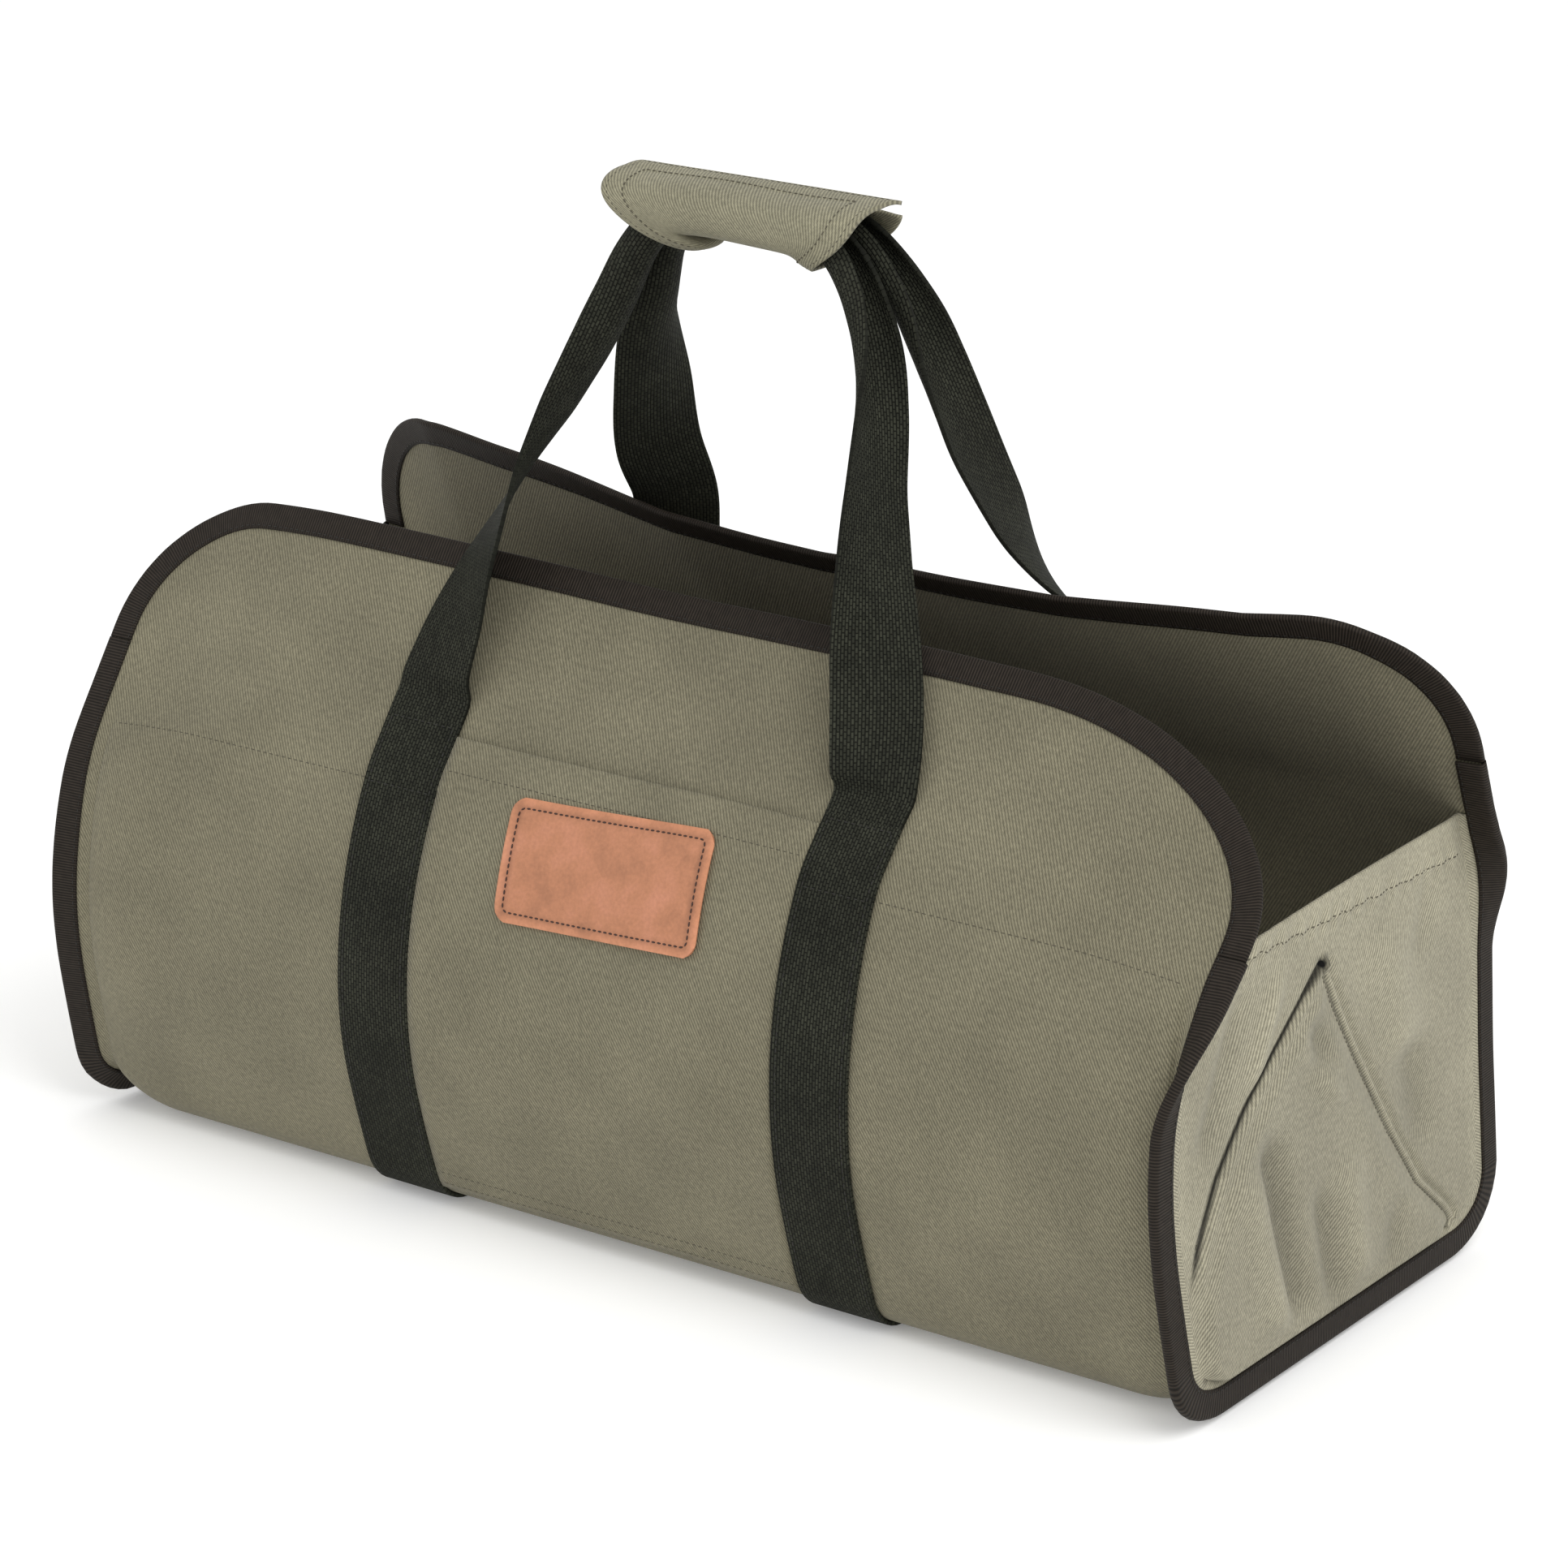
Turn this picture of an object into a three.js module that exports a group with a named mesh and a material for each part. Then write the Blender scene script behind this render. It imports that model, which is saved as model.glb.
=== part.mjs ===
// Canvas log carrier: a long open-topped bag with webbing handles and a wrapped grip.
// Millimetres, +Z up, the front faces -Y and the length runs along X.
import * as THREE from 'three';

// Driving dimensions

const CLOTH = 1.3; // canvas thickness
const GAP = 0.35; // running gap between neighbouring pieces
const HALF_SEAM = 299; // bag centre to an end seam, along the sheet
const FLANGE = 16; // seam allowance that stands outward past an end seam
const LEAN_RIGHT = 9; // how far the right end seam leans inward at the top of the wall
const LEAN_LEFT = 1; // the same at the left end's front seam
const LEAN_LEFT_BACK = 11; // and at its back seam
const BASE_HALF = 97; // flat half of the bottom
const BEND = 29; // sheet length in one rounded bottom edge
const WALL = 185; // sheet length from that edge to the stitched line
const FLAP = 114; // sheet length above the stitched line
const CORNER_RADIUS = 68; // rounded corners of the flaps
const PULLED_RADIUS = 92; // height of the front flap's right corner, pulled rounder
const PULLED_REACH = 150; // how far that corner's rounding reaches along the bag
const END_RISE = 17; // how far the bottom seam of an end lies above the bag's bottom
const PUCKER = 30; // length over which the belly draws in to an end seam
const GATHER = 0.885; // share of the wall's length left along the gathered end seam
const GUSSET_ABOVE = 8; // top edge of an end panel above the stitched line
const PANEL_BULGE = 5; // how far the triangle between an end panel's creases stands out
const TAPE = 0.9; // binding tape thickness
const TAPE_COVER = 13.5; // how far folded tape reaches back from an edge
const TAPE_EASE = 0.9; // room between a folded tape and the sheet inside it
const WEB = 2; // webbing thickness
const WEB_WIDTH = 40; // webbing width
const WEB_CENTRE = 120; // bag centre to the middle of a webbing run
const SEWN_ABOVE = 33; // webbing is sewn down to this far above the stitched line
const POCKET_ABOVE = 27; // pocket mouth above the stitched line
const POCKET_EASE = 1.2; // how far the pocket mouth stands off the wall
const PATCH_WIDTH = 110; // leather patch
const PATCH_HEIGHT = 54;
const PATCH_THICK = 2;
const PATCH_RADIUS = 7;
const PATCH_BELOW = 17.5; // patch centre below the stitched line
const PATCH_TILT = 2.6; // degrees
const GRIP_LENGTH = 137; // wrapped grip
const GRIP_CENTRE = -11; // grip centre along X
const GRIP_HEIGHT = 452; // grip centre above the ground
const GRIP_DEPTH = 42; // grip size across
const GRIP_RISE = 22; // grip size upright, at its middle
const GRIP_DROOP = 7; // extra height that hangs down at the grip's ends
const GRIP_CLOTH = 1.8; // two turned layers of canvas

// Colours measured by eye from the object

const finishes = {
  canvas: { color: 0x87826d, roughness: 0.9, metalness: 0 },
  endCanvas: { color: 0x9c9782, roughness: 0.9, metalness: 0 },
  gripCanvas: { color: 0x98937e, roughness: 0.9, metalness: 0 },
  webbing: { color: 0x2b2c26, roughness: 0.8, metalness: 0 },
  tape: { color: 0x2f2a27, roughness: 0.75, metalness: 0 },
  leather: { color: 0xb97b5b, roughness: 0.55, metalness: 0 },
};

// Small helpers

const degrees = (angle) => (angle * Math.PI) / 180;
const mix = (a, b, share) => a + (b - a) * share;
const clamp01 = (value) => Math.min(1, Math.max(0, value));
const ease = (value) => clamp01(value) ** 2 * (3 - 2 * clamp01(value));
const vector = (x, y, z) => new THREE.Vector3(x, y, z);

// Reads one column of a table whose rows are ordered along its key column.
function readTable(rows, key, column, at) {
  if (at <= rows[0][key]) return rows[0][column];
  for (let i = 1; i < rows.length; i += 1) {
    const low = rows[i - 1];
    const high = rows[i];
    if (at <= high[key]) {
      return mix(low[column], high[column], (at - low[key]) / (high[key] - low[key]));
    }
  }
  return rows[rows.length - 1][column];
}

// Shape of the one long sheet that is front flap, front wall, bottom, back wall and back flap

// Heading of the sheet in degrees as it leaves the middle of the bottom: 0 runs outward along
// the ground, 90 runs straight up, and more than 90 leans inward. The mid columns hold along
// the bag and the end columns at its end seams. "at" counts the runs of the sheet: 0 to 1 is
// the bottom, 1 to 2 the rounded edge and 2 to 3 the wall.
const headings = [
  { at: 0.0, frontMid: 0, frontEnd: 0, backMid: 0, backEnd: 0 },
  { at: 1.0, frontMid: 0, frontEnd: 0, backMid: 0, backEnd: 0 },
  { at: 1.5, frontMid: 38, frontEnd: 22, backMid: 40, backEnd: 30 },
  { at: 2.0, frontMid: 72, frontEnd: 78, backMid: 76, backEnd: 92 },
  { at: 2.25, frontMid: 76, frontEnd: 80, backMid: 82, backEnd: 93 },
  { at: 2.42, frontMid: 86, frontEnd: 87, backMid: 88, backEnd: 90 },
  { at: 2.6, frontMid: 96, frontEnd: 98, backMid: 94, backEnd: 90 },
  { at: 2.8, frontMid: 107, frontEnd: 104, backMid: 103, backEnd: 91 },
  { at: 3.0, frontMid: 117, frontEnd: 122, backMid: 116, backEnd: 104 },
];

// Inward lean of each flap from upright, in degrees, along the bag from -1 to 1
const flapLeans = [
  { along: -1.0, front: 35, back: 12 },
  { along: -0.82, front: 34, back: 24 },
  { along: -0.62, front: 34.5, back: 29 },
  { along: -0.3, front: 38.5, back: 38 },
  { along: 0.0, front: 41, back: 41 },
  { along: 0.4, front: 41, back: 39 },
  { along: 0.7, front: 44, back: 34 },
  { along: 0.88, front: 43, back: 28 },
  { along: 1.0, front: 44, back: 22 },
];

const HALF_EDGE = HALF_SEAM + FLANGE;
const STITCH = BASE_HALF + BEND + WALL; // sheet distance from the bottom's middle to the line
const GUSSET_TOP = STITCH + GUSSET_ABOVE;
const FLAP_CREASE = 14; // length over which the sheet bends at the stitched line
const SHEET_LIFT = WEB + GAP + CLOTH / 2; // the bottom rides on the webbing under it
const STEP = 2; // integration step along the sheet

// Room beside an end flange for the tape's leg, between the flange and the drawn-in sheet
const GROOVE = CLOTH + 2 * GAP + TAPE;

// How far the sheet has drawn in to the end seam: 0 along the bag, 1 at the seam and past it. Above
// the end panel's top it spreads out, since nothing gathers the flap.
const FLAP_SPREAD = 3; // the flap draws in over this many times the belly's length

function drawIn(along, distance) {
  const loose = ease((distance - STITCH + 2 * GUSSET_ABOVE) / (4 * GUSSET_ABOVE));
  const length = PUCKER * mix(1, FLAP_SPREAD, loose);
  const share = clamp01((Math.abs(along) - HALF_SEAM + GROOVE + length) / length);
  return mix(1 - Math.sqrt(1 - share * share), ease(share), loose);
}

function runCount(distance) {
  if (distance < BASE_HALF) return distance / BASE_HALF;
  if (distance < BASE_HALF + BEND) return 1 + (distance - BASE_HALF) / BEND;
  return Math.min(3, 2 + (distance - BASE_HALF - BEND) / WALL);
}

function headingAt(along, side, distance, drawn) {
  const name = side < 0 ? 'front' : 'back';
  const count = runCount(distance);
  const middle = readTable(headings, 'at', `${name}Mid`, count);
  const end = readTable(headings, 'at', `${name}End`, count);
  const wall = mix(middle, end, drawn);
  const lean = 90 + readTable(flapLeans, 'along', name, along / HALF_EDGE);
  return mix(wall, lean, ease((distance - STITCH) / FLAP_CREASE));
}

// Point, heading and outward normal of the sheet's middle layer, without the end flanges.
// sheet is the signed distance from the bottom's middle: negative goes to the front.
function sectionPoint(along, sheet) {
  const side = sheet < 0 ? -1 : 1;
  const distance = Math.abs(sheet);
  const drawn = drawIn(along, distance);
  let out = 0;
  let height = SHEET_LIFT + END_RISE * drawn;
  const steps = Math.max(1, Math.ceil(distance / STEP));
  const step = distance / steps;
  for (let i = 0; i < steps; i += 1) {
    const middle = (i + 0.5) * step;
    const angle = degrees(headingAt(along, side, middle, drawn));
    const onWall = middle > BASE_HALF + BEND && middle < STITCH;
    const kept = onWall ? mix(1, GATHER, drawn) : 1;
    out += Math.cos(angle) * step * kept;
    height += Math.sin(angle) * step * kept;
  }
  const angle = degrees(headingAt(along, side, distance, drawn));
  const leftLean = side < 0 ? LEAN_LEFT : LEAN_LEFT_BACK;
  const endLean = along > 0 ? LEAN_RIGHT : leftLean;
  const lean = endLean * clamp01((distance - BASE_HALF - BEND) / WALL);
  const reach = Math.max(-HALF_SEAM, Math.min(HALF_SEAM, along));
  return {
    point: vector(reach * (1 - lean / HALF_SEAM), side * out, height),
    normal: vector(0, side * Math.sin(angle), -Math.cos(angle)),
  };
}

// Turn of an end flange out of the sheet, in degrees: 0 lies flat along the bag, 90 stands
// straight out of it. The right end stands out, the left end lies nearly flat.
const RIGHT_TURN = 90;
const LEFT_WALL_TURN = 12;
const LEFT_BASE_TURN = 62;
const TURN_LENGTH = 88; // the flange untwists over this length below the end panel's top

function flangeTurn(end, sheet) {
  const distance = Math.abs(sheet);
  const untwist = ease((GUSSET_TOP + GUSSET_ABOVE - distance) / TURN_LENGTH);
  if (end > 0) return RIGHT_TURN * untwist;
  const onBase = ease((BASE_HALF + BEND - distance) / BEND);
  return mix(LEFT_WALL_TURN, LEFT_BASE_TURN, onBase) * untwist;
}

// A point of the whole sheet's middle layer, with its flanges
function sheetPoint(along, sheet) {
  const base = sectionPoint(along, sheet);
  const beyond = Math.abs(along) - HALF_SEAM;
  if (beyond <= 0) return base.point;
  const end = Math.sign(along);
  const turn = degrees(flangeTurn(end, sheet));
  base.point.addScaledVector(vector(end, 0, 0), beyond * Math.cos(turn));
  return base.point.addScaledVector(base.normal, beyond * Math.sin(turn));
}

// That point with the sheet's true outward normal, taken on one side of the end seam
const NEAR = 0.5; // distance over which slopes are measured
const SEAM_SIDE = 0.01; // keeps a slope on the flange's side of the seam

function sheetFrame(along, sheet) {
  const onFlange = Math.abs(along) >= HALF_SEAM;
  const end = Math.sign(along);
  const low = onFlange ? end * (HALF_SEAM + SEAM_SIDE) : along - NEAR;
  const high = onFlange ? end * HALF_EDGE : along + NEAR;
  const slopeAlong = sheetPoint(high, sheet).sub(sheetPoint(low, sheet));
  if (onFlange && end < 0) slopeAlong.negate();
  const slopeSheet = sheetPoint(along, sheet + NEAR).sub(sheetPoint(along, sheet - NEAR));
  const normal = slopeSheet.cross(slopeAlong).normalize();
  return { point: sheetPoint(along, sheet), normal };
}

// Height of the flap corner that a place on the sheet belongs to, and its reach along the bag
function cornerRadius(along, side) {
  return side < 0 && along > 0 ? PULLED_RADIUS : CORNER_RADIUS;
}

function cornerReach(along, side) {
  return side < 0 && along > 0 ? PULLED_REACH : CORNER_RADIUS;
}

// Share of the reach that a place lies past the corner's start
function pastCorner(along, side) {
  const reach = cornerReach(along, side);
  return clamp01((Math.abs(along) - HALF_EDGE + reach) / reach);
}

// Distance from the bottom's middle to where the straight side edge of a flap ends
function straightEnd(along, side) {
  return STITCH + FLAP - cornerRadius(along, side);
}

// Distance from the bottom's middle to the edge of a flap, with its rounded corners
function flapEdge(along, side) {
  const climb = Math.sqrt(1 - pastCorner(along, side) ** 2);
  return straightEnd(along, side) + cornerRadius(along, side) * climb;
}

// A point on a layer that lies off the sheet's middle by a height along its outward normal
function layerPoint(along, sheet, height) {
  const here = sheetFrame(along, sheet);
  return here.point.clone().addScaledVector(here.normal, height);
}

// Closed solids from grids

function solidFrom(positions, indices) {
  const geometry = new THREE.BufferGeometry();
  geometry.setAttribute('position', new THREE.Float32BufferAttribute(positions, 3));
  geometry.setIndex(indices);
  geometry.computeVertexNormals();
  return geometry;
}

function gridNormals(grid) {
  const rows = grid.length;
  const columns = grid[0].length;
  return grid.map((row, i) => row.map((point, j) => {
    const up = grid[Math.min(rows - 1, i + 1)][j].clone().sub(grid[Math.max(0, i - 1)][j]);
    const before = point.clone().sub(row[Math.max(0, j - 1)]).normalize();
    const after = row[Math.min(columns - 1, j + 1)].clone().sub(point).normalize();
    return up.cross(before.add(after)).normalize();
  }));
}

// A sheet of the given thickness round a grid of middle points. Rows run along the first
// index and the outward side is the one that (row direction) x (column direction) points to.
function sheetSolid(grid, thickness, normals = gridNormals(grid)) {
  const rows = grid.length;
  const columns = grid[0].length;
  const positions = [];
  for (const side of [0.5, -0.5]) {
    grid.forEach((row, i) => row.forEach((point, j) => {
      const place = point.clone().addScaledVector(normals[i][j], side * thickness);
      positions.push(place.x, place.y, place.z);
    }));
  }
  const under = rows * columns;
  const at = (i, j) => i * columns + j;
  const indices = [];
  const quad = (a, b, c, d) => indices.push(a, b, c, a, c, d);
  for (let i = 0; i < rows - 1; i += 1) {
    for (let j = 0; j < columns - 1; j += 1) {
      const [a, b, c, d] = [at(i, j), at(i + 1, j), at(i + 1, j + 1), at(i, j + 1)];
      quad(a, b, c, d);
      quad(c + under, b + under, a + under, d + under);
    }
  }
  const rim = [];
  for (let j = 0; j < columns - 1; j += 1) rim.push(at(0, j));
  for (let i = 0; i < rows - 1; i += 1) rim.push(at(i, columns - 1));
  for (let j = columns - 1; j > 0; j -= 1) rim.push(at(rows - 1, j));
  for (let i = rows - 1; i > 0; i -= 1) rim.push(at(i, 0));
  rim.forEach((here, k) => {
    const next = rim[(k + 1) % rim.length];
    quad(here, next, next + under, here + under);
  });
  return solidFrom(positions, indices);
}

// Folded tape over an edge: a U-shaped section carried along frames. Each frame holds the edge
// and the tip of the tape's legs, both with a normal, and the way out of the edge. tipFirst
// picks the diagonals so that they match those of the sheet inside.
function foldedTape(frames, layers, tipFirst) {
  const inner = layers / 2 + TAPE_EASE;
  const outer = inner + TAPE;
  const fold = 2 * GAP;
  const section = [
    { place: 'edge', out: fold + TAPE, off: -outer }, { place: 'edge', out: fold + TAPE, off: outer },
    { place: 'tip', out: 0, off: outer }, { place: 'tip', out: 0, off: inner },
    { place: 'edge', out: fold, off: inner }, { place: 'edge', out: fold, off: -inner },
    { place: 'tip', out: 0, off: -inner }, { place: 'tip', out: 0, off: -outer },
  ];
  const positions = [];
  const indices = [];
  const count = section.length;
  for (const frame of frames) {
    for (const { place, out, off } of section) {
      const here = frame[place].point.clone().addScaledVector(frame.out, out);
      here.addScaledVector(frame[place].normal, off);
      positions.push(here.x, here.y, here.z);
    }
  }
  for (let i = 0; i < frames.length - 1; i += 1) {
    for (let j = 0; j < count; j += 1) {
      const a = i * count + j;
      const b = i * count + ((j + 1) % count);
      const toTip = section[(j + 1) % count].place === 'tip';
      if (toTip === tipFirst) indices.push(a, b, a + count, b, b + count, a + count);
      else indices.push(a, b, b + count, a, b + count, a + count);
    }
  }
  const last = (frames.length - 1) * count;
  const outline = section.map(({ place, out, off }) => (
    new THREE.Vector2(place === 'tip' ? -TAPE_COVER : out, off)));
  for (const [a, b, c] of THREE.ShapeUtils.triangulateShape(outline, [])) {
    indices.push(a, c, b, last + a, last + b, last + c);
  }
  return solidFrom(positions, indices);
}

// Stations along and across the sheet, shared by every layer so that they stay parallel

const bendShares = [0, 0.25, 0.5, 0.75, 1];
const wallShares = [0.14, 0.28, 0.42, 0.56, 0.66, 0.75, 0.84, 0.92, 1];
const flapShares = [0.3, 0.6, 0.82, 1];

const sewnTop = STITCH + SEWN_ABOVE;
const lowerStations = [...new Set([
  0, BASE_HALF / 2,
  ...bendShares.map((share) => BASE_HALF + share * BEND),
  ...wallShares.map((share) => BASE_HALF + BEND + share * WALL),
  GUSSET_TOP, STITCH + POCKET_ABOVE, sewnTop,
])].sort((a, b) => a - b);
const flapStart = lowerStations[lowerStations.length - 1];

const webInner = WEB_CENTRE - WEB_WIDTH / 2;
const webOuter = WEB_CENTRE + WEB_WIDTH / 2;
const cornerStart = HALF_EDGE - CORNER_RADIUS;
const cornerShares = [0, 0.35];
const flangeShares = [0, 1];
const acrossHalf = [
  0, webInner * 0.6, webInner, webOuter, mix(webOuter, cornerStart, 0.5),
  ...cornerShares.map((share) => cornerStart + share * CORNER_RADIUS),
  HALF_SEAM - GROOVE - PUCKER * 0.3, HALF_SEAM - GROOVE - PUCKER * 0.06,
  HALF_SEAM - GROOVE, ...flangeShares.map((share) => HALF_SEAM + share * FLANGE),
].sort((a, b) => a - b);
const across = [...acrossHalf.slice(1).reverse().map((x) => -x), ...acrossHalf];

// Main panel

function panelStations(along) {
  const flap = (side) => flapShares.map((share) => mix(flapStart, flapEdge(along, side), share));
  const front = [...lowerStations.slice(1), ...flap(-1)];
  return [...front.reverse().map((distance) => -distance), ...lowerStations, ...flap(1)];
}

// The seam's own column turns half way between the wall and the flange
function panelNormal(along, sheet) {
  const { normal } = sheetFrame(along, sheet);
  if (Math.abs(along) !== HALF_SEAM) return normal;
  const inside = Math.sign(along) * (HALF_SEAM - 2 * NEAR);
  return normal.add(sheetFrame(inside, sheet).normal).normalize();
}

function mainPanel() {
  const columns = across.map((along) => panelStations(along));
  const rows = columns[0].map((unused, i) => columns.map((column) => column[i]));
  const grid = rows.map((row) => row.map((sheet, j) => sheetPoint(across[j], sheet)));
  const normals = rows.map((row) => row.map((sheet, j) => panelNormal(across[j], sheet)));
  return sheetSolid(grid, CLOTH, normals);
}

// End panels: a flat panel inside the seam, creased so that it can fold, and its own flange

const panelStack = CLOTH + GAP; // from the sheet's middle to the end panel's middle

function endFrame(end, sheet, beyond) {
  const here = sheetFrame(end * (HALF_SEAM + Math.max(beyond, SEAM_SIDE)), sheet);
  here.point.addScaledVector(here.normal, -panelStack);
  return here;
}

// Creases of an end panel from their meeting point down to the bottom corners. across runs
// from -1 at the front seam to 1 at the back seam and up from 0 at the bottom to 1 at the top.
const creases = [
  { up: 0.0, front: -1.0, back: 0.96 },
  { up: 0.22, front: -0.93, back: 0.62 },
  { up: 0.36, front: -0.84, back: 0.4 },
  { up: 0.53, front: -0.66, back: 0.16 },
  { up: 0.68, front: -0.42, back: -0.02 },
  { up: 0.8, front: -0.15, back: -0.13 },
];
const CREASE_WIDTH = 0.11;

function creaseBulge(place, up) {
  const apex = creases[creases.length - 1].up;
  if (up >= apex) return 0;
  const fromFront = (place - readTable(creases, 'up', 'front', up)) / CREASE_WIDTH;
  const fromBack = (readTable(creases, 'up', 'back', up) - place) / CREASE_WIDTH;
  return ease(fromFront) * ease(fromBack);
}

// Stations with long spans cut into equal parts that stay on the span's straight facet
function refine(stations, longest) {
  const result = [{ low: stations[0], high: stations[0], share: 0 }];
  for (let i = 1; i < stations.length; i += 1) {
    const low = stations[i - 1];
    const high = stations[i];
    const count = Math.max(1, Math.ceil((high - low) / longest));
    for (let k = 1; k <= count; k += 1) result.push({ low, high, share: k / count });
  }
  return result;
}

function facetFrame(station, place) {
  const low = place(station.low);
  const high = place(station.high);
  low.point.lerp(high.point, station.share);
  low.normal.lerp(high.normal, station.share);
  return low;
}

const FINE = 20; // longest facet along the bottom of an end panel
const cornerStation = BASE_HALF + bendShares[2] * BEND;

// The seam allowance of an end panel, with the same facets as the sheet's own flange
function endBand(end) {
  const onBase = refine(lowerStations.filter((s) => s <= BASE_HALF), FINE);
  const above = lowerStations.filter((s) => s > BASE_HALF && s <= GUSSET_TOP);
  const half = [...onBase, ...above.map((s) => ({ low: s, high: s, share: 0 }))];
  const mirrored = half.slice(1).reverse();
  const stations = [
    ...mirrored.map((item) => ({ low: -item.low, high: -item.high, share: item.share })),
    ...half,
  ];
  const beyond = end > 0 ? flangeShares : flangeShares.slice().reverse();
  const grid = stations.map((item) => (
    beyond.map((share) => facetFrame(item, (s) => endFrame(end, s, share * FLANGE)))));
  const corner = half.findIndex((item) => item.high === cornerStation && item.share === 0);
  return { grid, half: half.length, corner };
}

// Points inside the seam, blended from its front, back, bottom and straight top
function endPatch(end, front, back, base) {
  const rows = front.length;
  const columns = base.length;
  const top = base.map((unused, j) => {
    const share = j / (columns - 1);
    return front[rows - 1].clone().lerp(back[rows - 1], share);
  });
  return front.map((unused, i) => base.map((alsoUnused, j) => {
    const up = i / (rows - 1);
    const over = j / (columns - 1);
    const point = front[i].clone().multiplyScalar(1 - over).addScaledVector(back[i], over);
    point.addScaledVector(base[j], 1 - up).addScaledVector(top[j], up);
    point.addScaledVector(base[0], -(1 - over) * (1 - up));
    point.addScaledVector(base[columns - 1], -over * (1 - up));
    point.addScaledVector(top[0], -(1 - over) * up);
    point.addScaledVector(top[columns - 1], -over * up);
    const height = (point.z - base[0].z) / (top[0].z - base[0].z);
    const middle = (front[i].y + back[i].y) / 2;
    const place = (point.y - middle) / ((back[i].y - front[i].y) / 2);
    point.x += end * PANEL_BULGE * creaseBulge(place, height);
    return point;
  }));
}

function endPanelSolid(end) {
  const { grid, half, corner } = endBand(end);
  const wide = grid[0].length;
  const seamColumn = end > 0 ? 0 : wide - 1;
  const points = grid.flat().map((frame) => frame.point);
  const normals = grid.map((row) => row.map((frame, j) => (j === seamColumn ? null : frame.normal)));
  const faces = [];
  const quad = (a, b, c, d) => faces.push([a, b, c], [a, c, d]);
  const bandAt = (i, j) => i * wide + j;
  for (let i = 0; i < grid.length - 1; i += 1) {
    for (let j = 0; j < wide - 1; j += 1) {
      quad(bandAt(i, j), bandAt(i + 1, j), bandAt(i + 1, j + 1), bandAt(i, j + 1));
    }
  }
  const middle = half - 1;
  const rows = half - corner;
  const columns = 2 * corner + 1;
  const frontAt = (i) => bandAt(middle - corner - i, seamColumn);
  const backAt = (i) => bandAt(middle + corner + i, seamColumn);
  const baseAt = (j) => bandAt(middle - corner + j, seamColumn);
  const steps = [...Array(rows).keys()];
  const patch = endPatch(
    end,
    steps.map((i) => points[frontAt(i)]),
    steps.map((i) => points[backAt(i)]),
    [...Array(columns).keys()].map((j) => points[baseAt(j)]),
  );
  const ids = patch.map((row, i) => row.map((point, j) => {
    if (i === 0) return baseAt(j);
    if (j === 0) return frontAt(i);
    if (j === columns - 1) return backAt(i);
    points.push(point);
    return points.length - 1;
  }));
  for (let i = 0; i < rows - 1; i += 1) {
    for (let j = 0; j < columns - 1; j += 1) {
      const around = [ids[i][j], ids[i + 1][j], ids[i + 1][j + 1], ids[i][j + 1]];
      quad(...(end > 0 ? around : around.reverse()));
    }
  }
  return shellFromFaces(points, normals.flat(), faces, CLOTH);
}

// A closed sheet from middle points and the triangles of its outward side. A point without a
// normal of its own takes the mean of the faces round it.
function shellFromFaces(points, normals, faces, thickness) {
  const sums = points.map(() => vector(0, 0, 0));
  for (const face of faces) {
    const [a, b, c] = face.map((i) => points[i]);
    const cross = b.clone().sub(a).cross(c.clone().sub(a));
    face.forEach((i) => sums[i].add(cross));
  }
  const positions = [];
  for (const side of [0.5, -0.5]) {
    points.forEach((point, i) => {
      const normal = normals[i] ?? sums[i].clone().normalize();
      const place = point.clone().addScaledVector(normal, side * thickness);
      positions.push(place.x, place.y, place.z);
    });
  }
  const under = points.length;
  const indices = [];
  const open = new Map();
  for (const [a, b, c] of faces) {
    indices.push(a, b, c, c + under, b + under, a + under);
    for (const [from, to] of [[a, b], [b, c], [c, a]]) {
      if (open.has(`${to},${from}`)) open.delete(`${to},${from}`);
      else open.set(`${from},${to}`, [from, to]);
    }
  }
  for (const [from, to] of open.values()) {
    indices.push(to, from, from + under, to, from + under, to + under);
  }
  return solidFrom(positions, indices);
}

// Binding tapes

// Frames along an edge given by places on the sheet: the edge itself and the tip of the legs
function tapeFrames(path, shift) {
  const edges = path.map((place) => sheetFrame(place.along, place.sheet));
  return path.map((place, i) => {
    const edge = edges[i];
    const tip = sheetFrame(place.tipAlong, place.tipSheet);
    const before = edges[Math.max(0, i - 1)].point;
    const after = edges[Math.min(edges.length - 1, i + 1)].point;
    const out = edge.normal.clone().cross(after.clone().sub(before)).normalize();
    for (const frame of [edge, tip]) {
      frame.point = frame.point.clone().addScaledVector(frame.normal, shift);
    }
    return { edge, tip, out };
  });
}

const TAPE_JOIN = 6; // the tapes of an end and of a flap meet this far below the rounding

function endBinding(end) {
  const half = (side) => {
    const top = straightEnd(end, side) - TAPE_JOIN - GAP;
    return [...lowerStations.filter((s) => s > 0 && s < top), top];
  };
  const stations = [...half(-1).reverse().map((s) => -s), 0, ...half(1)];
  const ordered = end > 0 ? stations : stations.reverse();
  const path = ordered.map((sheet) => (
    { along: end * HALF_EDGE, sheet, tipAlong: end * (HALF_EDGE - TAPE_COVER), tipSheet: sheet }));
  return foldedTape(tapeFrames(path, -panelStack / 2), panelStack + CLOTH, true);
}

// A place on a flap's edge with the tip of the legs straight inward from it
function flapPlace(along, side) {
  const past = Math.asin(pastCorner(along, side));
  const turn = Math.atan2(
    cornerRadius(along, side) * Math.sin(past),
    cornerReach(along, side) * Math.cos(past),
  );
  const edge = flapEdge(along, side);
  return {
    along,
    sheet: side * edge,
    tipAlong: along - Math.sign(along) * TAPE_COVER * Math.sin(turn),
    tipSheet: side * (edge - TAPE_COVER * Math.cos(turn)),
  };
}

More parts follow.
